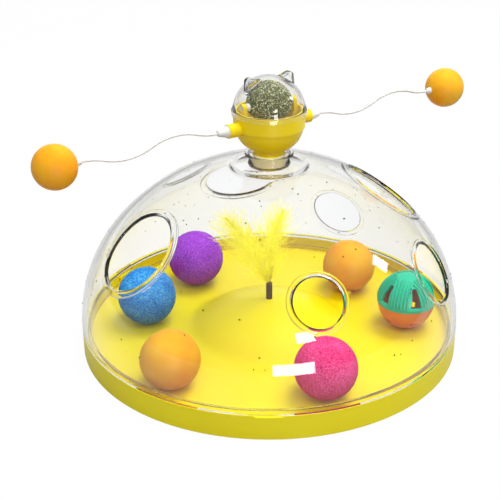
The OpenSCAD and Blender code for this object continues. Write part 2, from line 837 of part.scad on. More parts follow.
module catnip_lid() {
    color("white", 0.35) rotate([0, 0, arm_turn]) {
        difference() {
            union() {
                intersection() {
                    translate([0, 0, lid_mid_z]) sphere(r = lid_ball_r);
                    translate([-far / 2, -far / 2, lid_seat_z]) cube(far);
                }
                for (side = [-1, 1])
                    translate([0, 0, lid_mid_z]) rotate([0, side * (90 - ear_slope), 0])
                        ear_wedge(ear_w, lid_ball_r + ear_up, ear_t);
            }
            translate([0, 0, lid_mid_z]) sphere(r = lid_ball_r - lid_t);
            for (side = [-1, 1])
                translate([0, 0, lid_mid_z]) rotate([0, side * (90 - ear_slope), 0])
                    ear_wedge(ear_w - 2 * lid_t, lid_ball_r + ear_up - 1.5 * lid_t, ear_t - 2 * lid_t);
        }
        ring(lid_skirt_r, lid_skirt_in_r, rim_top_z - lid_skirt_h, lid_seat_z + lid_skirt_t);
    }
}

// Loose balls

module plush_ball_blue() {
    color("dodgerblue") at_ball(BLUE) sphere(d = BLUE[1]);
}

module plush_ball_purple() {
    color("mediumorchid") at_ball(PURPLE) sphere(d = PURPLE[1]);
}

module plush_ball_pink() {
    color("deeppink") at_ball(PINK) sphere(d = PINK[1]);
}

module orange_ball_rear() {
    color("orange") at_ball(REAR_ORANGE) sphere(d = REAR_ORANGE[1]);
}

module orange_ball_front() {
    color("orange") at_ball(FRONT_ORANGE) sphere(d = FRONT_ORANGE[1]);
}

// Half of the bell ball's round wall, turned to start midway between two windows
module bell_half(upper) {
    rotate([0, 0, window_turn + 180 / window_count]) difference() {
        sphere(r = bell_ball_r);
        sphere(r = bell_in_r);
        translate([-far / 2, -far / 2, upper ? -far : 0]) cube(far);
    }
}

// An upright window with an arched top, cut outwards along +X
module window_cut() {
    foot_z = bell_band_h + window_sill;
    arch_z = foot_z + window_h - window_top_w / 2;
    arch_foot = window_top_w / 2 - eps;
    rotate([90, 0, 90]) linear_extrude(height = far) {
        polygon([[-window_w / 2, foot_z], [window_w / 2, foot_z], [arch_foot, arch_z], [-arch_foot, arch_z]]);
        translate([0, arch_z]) circle(d = window_top_w, $fn = 32);
    }
}

module bell_ball_top() {
    color("lightseagreen") at_ball(BELL) difference() {
        union() {
            bell_half(true);
            ring(bell_ball_r + bell_band_out, bell_in_r + bell_ball_t / 2, 0, bell_band_h);
        }
        for (i = [0 : window_count - 1])
            rotate([0, 0, window_turn + i * 360 / window_count]) window_cut();
    }
}

module bell_ball_bottom() {
    color("darkorange") at_ball(BELL) difference() {
        bell_half(false);
        for (i = [0 : window_count - 1])
            rotate([0, 0, window_turn + i * 360 / window_count]) rotate([0, slot_slope, 0])
                translate([0, -slot_w / 2, -slot_h / 2]) cube([far, slot_w, slot_h]);
    }
}

// A round bell with a crossed mouth underneath and a pellet inside
module jingle_bell() {
    color("goldenrod") at_ball(BELL) translate([0, 0, -bell_hang]) difference() {
        sphere(d = bell_d);
        sphere(d = bell_d - 2 * bell_t);
        for (turn = [0, 90])
            rotate([0, 0, turn]) translate([-bell_d / 3, -bell_mouth_w / 2, -far])
                cube([2 * bell_d / 3, bell_mouth_w, far]);
    }
}

module bell_pellet() {
    color("gray") at_ball(BELL) translate([0, 0, -bell_hang - pellet_hang]) sphere(d = pellet_d, $fn = 48);
}

base_tray();
foot_pads();
feather_ferrule();
feather_quills();
feather_plume_left();
feather_plume_right();
dome();
spindle_bush();
rotor_cup();
rotor_washer();
rotor_screw();
arm_sleeve_left();
arm_sleeve_right();
arm_wire_left();
arm_wire_right();
ball_plug_left();
ball_plug_right();
end_ball_left();
end_ball_right();
catnip_ball();
catnip_axle();
catnip_lid();
plush_ball_blue();
plush_ball_purple();
plush_ball_pink();
orange_ball_rear();
orange_ball_front();
bell_ball_top();
bell_ball_bottom();
jingle_bell();
bell_pellet();
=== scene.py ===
"""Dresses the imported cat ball-chase toy: clear dome and lid, yellow tray and cup, sponge and foam balls,
ribbed bell ball, catnip ball, wavy wires and feather, with a white studio and the photograph's camera.

Lengths are in metres in the CAD frame: +Z up, the front of the toy faces -Y.
"""

import json
import math

import bmesh
import bpy
from mathutils import Matrix, Vector, noise
from mathutils.bvhtree import BVHTree


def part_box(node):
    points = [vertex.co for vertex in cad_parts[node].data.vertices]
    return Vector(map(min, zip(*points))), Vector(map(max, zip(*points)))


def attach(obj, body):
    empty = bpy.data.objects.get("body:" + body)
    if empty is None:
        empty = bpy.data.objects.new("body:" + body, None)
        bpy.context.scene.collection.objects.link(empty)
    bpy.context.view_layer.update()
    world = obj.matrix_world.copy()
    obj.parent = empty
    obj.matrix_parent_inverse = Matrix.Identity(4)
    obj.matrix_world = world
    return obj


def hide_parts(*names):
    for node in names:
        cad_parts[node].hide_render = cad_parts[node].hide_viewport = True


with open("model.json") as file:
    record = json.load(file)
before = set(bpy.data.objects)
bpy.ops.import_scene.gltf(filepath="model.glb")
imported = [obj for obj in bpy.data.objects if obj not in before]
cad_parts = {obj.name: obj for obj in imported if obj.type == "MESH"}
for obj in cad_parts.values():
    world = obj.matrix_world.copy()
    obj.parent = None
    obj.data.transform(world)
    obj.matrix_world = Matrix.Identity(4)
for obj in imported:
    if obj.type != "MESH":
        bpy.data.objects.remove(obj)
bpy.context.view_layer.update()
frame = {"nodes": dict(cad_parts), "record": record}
NODES = frame["nodes"]
SCENE = bpy.context.scene
MM = 0.001
# Points nearer than this are one, and faces that meet more sharply than this show an edge
SAME_POINT = 2e-6
CAD_CREASE, CREASE = 32, 30
# An arc takes up no more than this share of the sides it joins
ARC_SHARE = 0.45


# Places read from the frame


def node_middle(node):
    low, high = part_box(node)
    return (Vector(low) + Vector(high)) / 2


def node_size(node):
    low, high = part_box(node)
    return Vector(high) - Vector(low)


DOME_R = node_size("dome").x / 2
DOME_TOP_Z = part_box("dome")[1][2]
SKIRT_DEPTH = 6 * MM
RIM_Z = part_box("dome")[0][2] + SKIRT_DEPTH
ARM_AXIS = (node_middle("end_ball_right") - node_middle("end_ball_left")).normalized()
ARM_TURN = math.atan2(ARM_AXIS.y, ARM_AXIS.x)


# Meshes


def link_object(name, data):
    piece = bpy.data.objects.new(name, data)
    SCENE.collection.objects.link(piece)
    return piece


def show_piece(name, mesh, body, replaces=(), material=None):
    """A finished piece of the toy: it rides on a body and stands for the CAD nodes it replaces."""
    if material is not None:
        mesh.materials.clear()
        mesh.materials.append(material)
    piece = link_object(name, mesh)
    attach(piece, body)
    if replaces:
        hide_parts(*replaces)
    return piece


def mesh_from(name, bm):
    mesh = bpy.data.meshes.new(name)
    bm.to_mesh(mesh)
    bm.free()
    return mesh


def smooth_by_angle(bm, degrees):
    limit = math.radians(degrees)
    for face in bm.faces:
        face.smooth = True
    for edge in bm.edges:
        edge.smooth = len(edge.link_faces) == 2 and edge.calc_face_angle(0) < limit


def rounded_outline(corners, steps=5):
    """Points of a closed outline from corners (across, up, radius): each corner is turned on an arc."""
    points = []
    count = len(corners)
    for i, (x, z, radius) in enumerate(corners):
        here = Vector((x, z))
        before = Vector(corners[i - 1][:2]) - here
        after = Vector(corners[(i + 1) % count][:2]) - here
        if radius <= 0 or before.length == 0 or after.length == 0:
            points.append(here)
            continue
        half = before.angle(after) / 2
        back = min(radius / math.tan(half), ARC_SHARE * before.length, ARC_SHARE * after.length)
        start = here + before.normalized() * back
        end = here + after.normalized() * back
        for k in range(steps + 1):
            t = k / steps
            points.append(start * (1 - t) ** 2 + here * 2 * t * (1 - t) + end * t * t)
    return points


def stitch(bm, rows):
    """Adds the faces between each closed row of points and the next."""
    for here, there in zip(rows, rows[1:]):
        for i in range(len(here)):
            j = (i + 1) % len(here)
            bm.faces.new((here[i], there[i], there[j], here[j]))


def turned_outline(bm, outline, turns, place):
    """Adds a closed ring of faces: a closed (radius, height) outline turned about the place's own Z."""
    rings = []
    for k in range(turns):
        angle = 2 * math.pi * k / turns
        c, s = math.cos(angle), math.sin(angle)
        rings.append([bm.verts.new(place @ Vector((p[0] * c, p[0] * s, p[1]))) for p in outline])
    stitch(bm, rings + rings[:1])
    bmesh.ops.recalc_face_normals(bm, faces=bm.faces)


def revolved(name, outline, turns):
    bm = bmesh.new()
    turned_outline(bm, outline, turns, Matrix())
    return mesh_from(name, bm)


def arc_block(bm, inner_r, outer_r, low_z, high_z, turn, width, steps=8):
    """Adds a block of a ring about the upright axis, as wide as given at its outer face."""
    half = width / 2 / outer_r
    corners = ((inner_r, low_z), (outer_r, low_z), (outer_r, high_z), (inner_r, high_z))
    rows = []
    for k in range(steps + 1):
        angle = turn + half * (2 * k / steps - 1)
        rows.append([bm.verts.new((r * math.cos(angle), r * math.sin(angle), z)) for r, z in corners])
    stitch(bm, rows)
    bm.faces.new(rows[0])
    bm.faces.new(rows[-1])
    bmesh.ops.recalc_face_normals(bm, faces=bm.faces)


def evaluated(piece):
    """The mesh that an object has once its modifiers have run."""
    bpy.context.view_layer.update()
    depsgraph = bpy.context.evaluated_depsgraph_get()
    return bpy.data.meshes.new_from_object(piece.evaluated_get(depsgraph))


def combined(base, other, operation):
    """The mesh of a solid after another solid is cut from it or joined to it."""
    body = link_object("work_body", base)
    tool = link_object("work_tool", other)
    modifier = body.modifiers.new("combine", "BOOLEAN")
    modifier.operation = operation
    modifier.solver = "EXACT"
    modifier.object = tool
    result = evaluated(body)
    bpy.data.objects.remove(body)
    bpy.data.objects.remove(tool)
    return result


def smoothed_mesh(mesh):
    bm = bmesh.new()
    bm.from_mesh(mesh)
    bmesh.ops.remove_doubles(bm, verts=bm.verts, dist=SAME_POINT)
    smooth_by_angle(bm, CREASE)
    bm.to_mesh(mesh)
    bm.free()
    return mesh


def cad_copy(node):
    """A copy of a CAD node's mesh with its loose triangles joined and shaded smooth."""
    source = NODES[node].data
    bm = bmesh.new()
    corners = [bm.verts.new(v.co) for v in source.vertices]
    for polygon in source.polygons:
        bm.faces.new([corners[i] for i in polygon.vertices])
    bmesh.ops.remove_doubles(bm, verts=bm.verts, dist=SAME_POINT)
    smooth_by_angle(bm, CAD_CREASE)
    return mesh_from(node + "_smooth", bm)


# Node trees


class Tree:
    """Builds a shader or geometry tree: values and links are given by socket name."""

    def __init__(self, tree):
        self.tree = tree

    def add(self, kind, inputs=None, **settings):
        node = self.tree.nodes.new(kind)
        for key, value in settings.items():
            setattr(node, key, value)
        for socket, value in (inputs or {}).items():
            target = node.inputs[socket]
            if isinstance(value, bpy.types.NodeSocket):
                self.tree.links.new(value, target)
            else:
                target.default_value = value
        return node

    def out(self, kind, inputs=None, output=0, **settings):
        """One output of a new node."""
        return self.add(kind, inputs, **settings).outputs[output]

    def math(self, operation, a, b=0.0):
        return self.out("ShaderNodeMath", {0: a, 1: b}, operation=operation)

    def times(self, a, b):
        return self.math("MULTIPLY", a, b)

    def ramp(self, factor, stops):
        """A colour ramp: stops of three values are the photograph's colours, those of four are linear."""
        node = self.add("ShaderNodeValToRGB", {"Fac": factor})
        elements = node.color_ramp.elements
        while len(elements) < len(stops):
            elements.new(0.5)
        for element, (place, colour) in zip(elements, stops):
            element.position = place
            element.color = srgb(*colour) if len(colour) == 3 else colour
        return node.outputs["Color"]

    def noise(self, vector, scale, detail=2.0, roughness=0.5, output="Fac"):
        inputs = {"Vector": vector, "Scale": scale, "Detail": detail, "Roughness": roughness}
        return self.out("ShaderNodeTexNoise", inputs, output)

    def mapped(self, value, low, high, start=0.0, end=1.0):
        """A value that runs from low to high while the one given runs from start to end."""
        spans = {"From Min": start, "From Max": end, "To Min": low, "To Max": high}
        return self.out("ShaderNodeMapRange", {"Value": value, **spans}, "Result")

    def principled(self, inputs):
        return self.out("ShaderNodeBsdfPrincipled", inputs)

    def bump(self, height, strength, distance):
        inputs = {"Height": height, "Strength": strength, "Distance": distance}
        return self.out("ShaderNodeBump", inputs, "Normal")


def srgb(red, green, blue):
    """A colour given as the photograph's 0 to 255 values, made linear."""

    def linear(v):
        v /= 255
        return v / 12.92 if v <= 0.04045 else ((v + 0.055) / 1.055) ** 2.4

    return (linear(red), linear(green), linear(blue), 1.0)


def grey(level):
    return (level, level, level, 1.0)


def new_material(name):
    material = bpy.data.materials.new(name)
    material.use_nodes = True
    material.node_tree.nodes.clear()
    return material, Tree(material.node_tree)


def finished(material, t, shader):
    t.add("ShaderNodeOutputMaterial", {"Surface": shader})
    return material


def object_point(t):
    return t.out("ShaderNodeTexCoord", output="Object")


def tone_with_painted_bounce(t, tone, bounced):
    """The tone a surface shows, but the bounced colour where it only lends light to its neighbours:
    painted shade that darkens the undersides near it and turns the shadows around it orange.
    """
    lent = t.out("ShaderNodeLightPath", output="Is Diffuse Ray")
    inputs = {"Fac": lent, "Color1": tone, "Color2": srgb(*bounced)}
    return t.out("ShaderNodeMixRGB", inputs, output="Color")


def moulded_plastic(name, colour, shade, roughness, coat=0.06, bounced=None):
    """Moulded plastic: a faint flow of tone, a fine eggshell grain, and rubbed patches that shine more.
    A bounced colour, where given, is what the plastic lends to its neighbours: painted shade that darkens
    and warms them."""
    material, t = new_material(name)
    point = object_point(t)
    tone = t.ramp(t.noise(point, 18.0, detail=3.0), [(0.3, shade), (0.7, colour)])
    # Painted shade: bounced light takes the given colour instead of the plastic's tone
    if bounced is not None:
        tone = tone_with_painted_bounce(t, tone, bounced)
    rubbed = t.noise(point, 60.0, detail=4.0, roughness=0.65)
    grain = t.noise(point, 1500.0, detail=1.0)
    surface = {
        "Base Color": tone,
        "Roughness": t.mapped(rubbed, roughness * 0.8, roughness * 1.25, start=0.3, end=0.7),
        "Normal": t.bump(grain, strength=0.06, distance=0.2 * MM),
        "Specular IOR Level": 0.35,
        "Coat Weight": coat,
        "Coat Roughness": 0.12,
    }
    return finished(material, t, t.principled(surface))


def sponge(name, deep, middle, pale):
    """Close sponge: dark pores between pale grains, with a soft dusty sheen."""
    material, t = new_material(name)
    point = object_point(t)
    grain = t.noise(point, 1100.0, roughness=0.6)
    patch = t.noise(point, 90.0, detail=3.0)
    mixed = t.math("ADD", t.times(grain, 0.75), t.times(patch, 0.25))
    surface = {
        "Base Color": t.ramp(mixed, [(0.36, deep), (0.5, middle), (0.66, pale)]),
        "Roughness": 0.9,
        "Normal": t.bump(grain, strength=0.5, distance=0.4 * MM),
        "Specular IOR Level": 0.15,
        "Sheen Weight": 0.02,
        "Sheen Roughness": 0.5,
    }
    return finished(material, t, t.principled(surface))


def foam_skin(name, deep, middle, pale, bounced):
    """Smooth foam with a fine skin: tiny pits, a slow drift of tone and a soft shine."""
    material, t = new_material(name)
    point = object_point(t)
    tone = t.ramp(t.noise(point, 55.0, detail=3.0), [(0.3, deep), (0.5, middle), (0.72, pale)])
    pits = t.noise(point, 1600.0, roughness=0.7)
    surface = {
        # Painted shade: bounced light takes a redder orange than the foam, so that the shadows near the
        # balls turn orange
        "Base Color": tone_with_painted_bounce(t, tone, bounced),
        "Roughness": 0.5,
        "Normal": t.bump(pits, strength=0.25, distance=0.2 * MM),
        "Specular IOR Level": 0.3,
        "Subsurface Weight": 0.12,
        "Subsurface Radius": (4 * MM, 2 * MM, 1 * MM),
        "Subsurface Scale": 1.0,
    }
    return finished(material, t, t.principled(surface))


def lamp_or_bounced(t):
    """One for a ray towards a lamp and for bounced light, and nought for any other."""
    path = t.add("ShaderNodeLightPath").outputs
    return t.math("MAXIMUM", path["Is Shadow Ray"], path["Is Diffuse Ray"])


def clear_plastic(name, tint, painted_rim_shade, roughness):
    """Clear plastic with a faint haze of rub marks, darkened at grazing angles by partly painted shade;
    lamps and bounced light pass straight through it.
    """
    material, t = new_material(name)
    marks = t.noise(object_point(t), 220.0, detail=5.0, roughness=0.7)
    # A ray that only grazes the wall runs a long way inside it and comes out a little darker, and most of
    # the darkness at the rims is painted shade
    grazing = t.out("ShaderNodeLayerWeight", {"Blend": 0.5}, output="Facing")
    surface = {
        "Base Color": t.ramp(grazing, [(0.72, tint), (0.96, painted_rim_shade)]),
        "Roughness": t.mapped(marks, roughness, roughness * 3, start=0.45, end=0.8),
        "IOR": 1.49,
        "Transmission Weight": 1.0,
    }
    glass = t.principled(surface)
    clear = t.out("ShaderNodeBsdfTransparent", {"Color": grey(0.97)})
    passing = lamp_or_bounced(t)
    return finished(material, t, t.out("ShaderNodeMixShader", {0: passing, 1: glass, 2: clear}))


def metal(name, colour, roughness):
    """Bare metal with fine dull flecks."""
    material, t = new_material(name)
    flecks = t.noise(object_point(t), 900.0, detail=3.0, roughness=0.7)
    bright = srgb(*colour)
    dull = tuple(c * 0.7 for c in bright[:3]) + (1.0,)
    surface = {
        "Base Color": t.ramp(flecks, [(0.3, dull), (0.7, bright)]),
        "Metallic": 1.0,
        "Roughness": t.mapped(flecks, roughness * 0.7, roughness * 1.5),
    }
    return finished(material, t, t.principled(surface))


def dry_leaf(name):
    """Crumbled leaf: each crumb takes its own tone from a value stored on it."""
    material, t = new_material(name)
    crumb = t.out("ShaderNodeAttribute", output="Fac", attribute_name="crumb_tone")
    stops = [(0.0, (40, 46, 20)), (0.4, (112, 118, 64)), (0.75, (206, 208, 150)), (1.0, (250, 250, 222))]
    fibre = t.noise(object_point(t), 2500.0)
    surface = {
        "Base Color": t.ramp(crumb, stops),
        "Roughness": 0.9,
        "Normal": t.bump(fibre, strength=0.4, distance=0.2 * MM),
    }
    return finished(material, t, t.principled(surface))


def down(name):
    """Feather down: brown at the quill, lemon along the barbs and paler at their tips, and so fine that
    most light passes it."""
    material, t = new_material(name)
    reach = t.out("ShaderNodeAttribute", output="Fac", attribute_name="barb_reach")
    stops = [(0.0, (126, 98, 22)), (0.04, (248, 244, 0)), (0.7, (255, 255, 0)), (1.0, (255, 255, 96))]
    fluff = t.noise(object_point(t), 900.0)
    surface = {
        "Base Color": t.ramp(reach, stops),
        "Roughness": t.mapped(fluff, 0.7, 0.95),
        "Specular IOR Level": 0.1,
    }
    lit = t.principled(surface)
    # What shines through also stands for the light that the hairs hand on to each other
    through = t.out("ShaderNodeBsdfTranslucent", {"Color": srgb(218, 222, 0)})
    hairs = t.out("ShaderNodeAddShader", {0: lit, 1: through})
    passing = t.times(lamp_or_bounced(t), 0.96)
    clear = t.out("ShaderNodeBsdfTransparent")
    return finished(material, t, t.out("ShaderNodeMixShader", {0: passing, 1: hairs, 2: clear}))


# The tray lends bounced light a dimmer, more orange colour than its own: painted shade that darkens the
# balls' undersides and turns the tray's shadows orange
TRAY_YELLOW = moulded_plastic("tray_yellow", (252, 238, 16), (248, 230, 12), 0.38, bounced=(188, 138, 50))
CUP_YELLOW = moulded_plastic("cup_yellow", (254, 228, 12), (248, 218, 10), 0.34)
# The second, darker colour of each clear plastic is painted shade along its rims
DOME_CLEAR = clear_plastic("dome_clear", (0.985, 0.99, 0.99, 1.0), (0.66, 0.66, 0.62, 1.0), 0.015)
LID_CLEAR = clear_plastic("lid_clear", (0.98, 0.985, 0.985, 1.0), (0.6, 0.6, 0.56, 1.0), 0.02)
BUSH_CREAM = moulded_plastic("bush_cream", (252, 240, 186), (244, 228, 166), 0.5)
PLUG_WHITE = moulded_plastic("plug_white", (240, 240, 236), (228, 228, 222), 0.4)
WIRE_WHITE = moulded_plastic("wire_white", (240, 240, 234), (222, 222, 212), 0.42)
PAD_GREY = moulded_plastic("pad_grey", (96, 96, 96), (78, 78, 78), 0.8, coat=0.0)
TEAL = moulded_plastic("bell_ball_teal", (28, 212, 166), (20, 194, 150), 0.36)
# The bell ball lends bounced light a redder orange than its own: painted shade that turns the shadows near
# it orange
BELL_ORANGE = moulded_plastic(
    "bell_ball_orange", (255, 150, 30), (255, 134, 22), 0.36, bounced=(255, 84, 0)
)
SPONGE_BLUE = sponge("sponge_blue", (14, 90, 184), (46, 148, 232), (116, 204, 252))
SPONGE_PURPLE = sponge("sponge_purple", (122, 24, 172), (164, 52, 214), (196, 92, 244))
SPONGE_PINK = sponge("sponge_pink", (214, 24, 96), (248, 60, 136), (255, 112, 176))
# The foam balls lend bounced light a redder orange than their own: painted shade that turns the shadows
# near them orange
FOAM_ORANGE = foam_skin("foam_orange", (252, 166, 14), (255, 182, 26), (255, 196, 44), (255, 110, 4))
CATNIP_LEAF = dry_leaf("catnip_leaf")
FEATHER_DOWN = down("feather_down")
FERRULE_BROWN = moulded_plastic("ferrule_brown", (96, 74, 44), (72, 54, 30), 0.6, coat=0.05)
QUILL_AMBER = moulded_plastic("quill_amber", (150, 118, 40), (118, 90, 30), 0.6, coat=0.05)
SCREW_BRASS = metal("screw_brass", (196, 164, 84), 0.35)
WASHER_STEEL = metal("washer_steel", (186, 186, 186), 0.35)
BELL_BRASS = metal("bell_brass", (206, 170, 92), 0.25)
CRUMB_DARK = moulded_plastic("crumb_dark", (44, 38, 26), (24, 20, 14), 0.8, coat=0.0)


# Growth: geometry trees for whatever repeats

# Turns that chance picks from, in radians
FULL_TURN, MOST_OF_TURN = 6.2832, 6.28


def growth_tree(name, sockets):
    """A geometry tree that takes and gives geometry, with the named inputs given and a material."""
    tree = bpy.data.node_groups.new(name, "GeometryNodeTree")
    tree.is_modifier = True
    tree.interface.new_socket("Geometry", in_out="INPUT", socket_type="NodeSocketGeometry")
    tree.interface.new_socket("Geometry", in_out="OUTPUT", socket_type="NodeSocketGeometry")
    for label, kind in {**sockets, "Material": "Material"}.items():
        tree.interface.new_socket(label, in_out="INPUT", socket_type="NodeSocket" + kind)
    t = Tree(tree)
    return t, t.add("NodeGroupInput").outputs


def grown(name, mesh, t, values):
    """The plain mesh that a geometry tree grows on a carrier mesh."""
    carrier = link_object(name + "_carrier", mesh)
    modifier = carrier.modifiers.new("grow", "NODES")
    modifier.node_group = t.tree
    for item in t.tree.interface.items_tree:
        if item.item_type == "SOCKET" and item.in_out == "INPUT" and item.name in values:
            modifier[item.identifier] = values[item.name]
    made = evaluated(carrier)
    made.name = name
    bpy.data.objects.remove(carrier)
    return made


def random_value(t, low, high, seed):
    """A number, or a vector, drawn for each element between two of its kind."""
    kind, places, output = ("FLOAT_VECTOR", (0, 1), 0) if isinstance(low, tuple) else ("FLOAT", (2, 3), 1)
    inputs = {places[0]: low, places[1]: high, "Seed": seed}
    return t.out("FunctionNodeRandomValue", inputs, output, data_type=kind)


def stored(t, geometry, name, value, domain="POINT"):
    inputs = {"Geometry": geometry, "Name": name, "Value": value}
    return t.out("GeometryNodeStoreNamedAttribute", inputs, data_type="FLOAT", domain=domain)


def finish_growth(t, given, geometry):
    real = t.out("GeometryNodeRealizeInstances", {"Geometry": geometry})
    dressed = t.out("GeometryNodeSetMaterial", {"Geometry": real, "Material": given["Material"]})
    t.add("NodeGroupOutput", {"Geometry": dressed})


def turned(t, rotation, by):
    """A rotation followed by a turn in its own axes, given as an Euler vector."""
    turn = t.out("FunctionNodeEulerToRotation", {"Euler": by})
    inputs = {"Rotation": rotation, "Rotate By": turn}
    return t.out("FunctionNodeRotateRotation", inputs, rotation_space="LOCAL")


def joined(t, first, second):
    """Two geometries in one."""
    node = t.add("GeometryNodeJoinGeometry", {"Geometry": first})
    t.tree.links.new(second, node.inputs[0])
    return node.outputs[0]


def tube(t, curve, sides, radius, caps=False):
    section = t.out("GeometryNodeCurvePrimitiveCircle", {"Resolution": sides, "Radius": radius})
    return t.out("GeometryNodeCurveToMesh", {"Curve": curve, "Profile Curve": section, "Fill Caps": caps})


def instances(t, points, instance, rotation, scale):
    inputs = {"Points": points, "Instance": instance, "Rotation": rotation, "Scale": scale}
    return t.out("GeometryNodeInstanceOnPoints", inputs)


def flakes(t, spread, size, squash, tilt, scale):
    """Flattened flakes scattered over a mesh, each tilted and sized by the values given."""
    scatter = t.add("GeometryNodeDistributePointsOnFaces", spread, distribute_method="RANDOM").outputs
    flake = t.out("GeometryNodeMeshIcoSphere", {"Radius": size, "Subdivisions": 1})
    flat = t.out("GeometryNodeTransform", {"Geometry": flake, "Scale": squash})
    return instances(t, scatter["Points"], flat, turned(t, scatter["Rotation"], tilt), scale)


def euler(t, x=0.0, y=0.0, z=0.0):
    return t.out("ShaderNodeCombineXYZ", {"X": x, "Y": y, "Z": z})


# CAD nodes whose shape is right: the same solid, joined and shaded smooth

BODY_OF = {n: body for body, members in frame["record"]["behaviour"]["bodies"].items() for n in members}
SHOWN_AS_CAD = {
    "base_tray": TRAY_YELLOW,
    "foot_pads": PAD_GREY,
    "feather_ferrule": FERRULE_BROWN,
    "feather_quills": QUILL_AMBER,
    "spindle_bush": BUSH_CREAM,
    "rotor_cup": CUP_YELLOW,
    "rotor_washer": WASHER_STEEL,
    "rotor_screw": SCREW_BRASS,
    "arm_sleeve_left": PLUG_WHITE,
    "arm_sleeve_right": PLUG_WHITE,
    "arm_wire_left": WIRE_WHITE,
    "arm_wire_right": WIRE_WHITE,
    "ball_plug_left": PLUG_WHITE,
    "ball_plug_right": PLUG_WHITE,
    "catnip_axle": PLUG_WHITE,
    "bell_ball_top": TEAL,
    "bell_ball_bottom": BELL_ORANGE,
    "jingle_bell": BELL_BRASS,
    "bell_pellet": WASHER_STEEL,
}


def show_node(node, ending, mesh, material=None):
    """A finished piece that stands for one CAD node, on its body and in its slot."""
    return show_piece(node + ending, mesh, BODY_OF[node], (node,), material)


for node, material in SHOWN_AS_CAD.items():
    show_node(node, "_finished", cad_copy(node), material)


# Dome

DOME_GAP = 0.3 * MM
DOME_FOOT_Z = RIM_Z + DOME_GAP
SIDE_R = 95 * MM
DOME_WALL = 2.4 * MM
COLLAR_ABOVE_CROWN = 6 * MM
CROWN_Z = DOME_TOP_Z - COLLAR_ABOVE_CROWN
SIDE_MIDDLE_R = DOME_R - SIDE_R
DOME_HEIGHT = CROWN_Z - DOME_FOOT_Z
CROWN_R = (SIDE_MIDDLE_R**2 + DOME_HEIGHT**2 - SIDE_R**2) / (2 * (DOME_HEIGHT - SIDE_R))
CROWN_MIDDLE_Z = CROWN_Z - CROWN_R
JOIN_SLOPE = math.atan2(DOME_FOOT_Z - CROWN_MIDDLE_Z, SIDE_MIDDLE_R)
# Paw holes: turn about the upright axis, slope of the axis, bore and bead, in degrees and metres
PAW_HOLES = (
    (-149, 45, 52 * MM, 5 * MM),
    (11, 55.5, 52 * MM, 5 * MM),
    (102, 40.5, 52 * MM, 5 * MM),
    (-21, 32, 37 * MM, 3.8 * MM),
    (64, 17, 37 * MM, 3.8 * MM),
    (-74, 39.5, 30 * MM, 3.8 * MM),
    (135, 51.5, 30 * MM, 3.8 * MM),
)
BEAD_PROUD = 0.3 * MM
BEAD_CORNER = 0.8 * MM
BEAD_TAPER = 1.5 * MM
BORE_EDGE = 0.8 * MM
LUG_TURNS = (-90, 30, 150)
LUG_W, LUG_OUT, LUG_H = 16 * MM, 1.4 * MM, 3.5 * MM
LUG_RAISED = 0.05 * MM
SKIRT_R, SKIRT_IN_R = DOME_R - 3.3 * MM, DOME_R - 5.5 * MM
DOME_TURNS, HOLE_TURNS, LID_TURNS, WALL_STEPS = 192, 96, 96, 72


def wall_points(inset, low_slope, high_slope, count):
    """Points up the dome's wall, a given way inside its outer face, between two slopes."""
    points = []
    for k in range(count + 1):
        slope = low_slope + (high_slope - low_slope) * k / count
        if slope < JOIN_SLOPE:
            middle_r, middle_z, radius = SIDE_MIDDLE_R, DOME_FOOT_Z, SIDE_R - inset
        else:
            middle_r, middle_z, radius = 0.0, CROWN_MIDDLE_Z, CROWN_R - inset
        points.append((middle_r + radius * math.cos(slope), middle_z + radius * math.sin(slope)))
    return points


def hole_place(turn, slope, bore, bead):
    """The frame of a paw hole, whose origin is the middle of the bead's ring and whose Z points out, and
    how much the wall falls away from that ring for each step outwards."""
    slope = math.radians(slope)
    on_crown = slope >= JOIN_SLOPE
    middle_r = 0.0 if on_crown else SIDE_MIDDLE_R
    middle_z = CROWN_MIDDLE_Z if on_crown else DOME_FOOT_Z
    arc_r = (CROWN_R if on_crown else SIDE_R) - DOME_WALL / 2
    ring_r = (bore + bead) / 2
    across_r = middle_r / math.cos(slope) + arc_r
    fall = ring_r / 2 * (1 / arc_r + 1 / across_r)
    spin = Matrix.Rotation(math.radians(turn), 4, "Z")
    tip = Matrix.Rotation(math.pi / 2 - slope, 4, "Y")
    out = Matrix.Translation((0, 0, arc_r - ring_r * fall / 2))
    return spin @ Matrix.Translation((middle_r, 0, middle_z)) @ tip @ out, fall


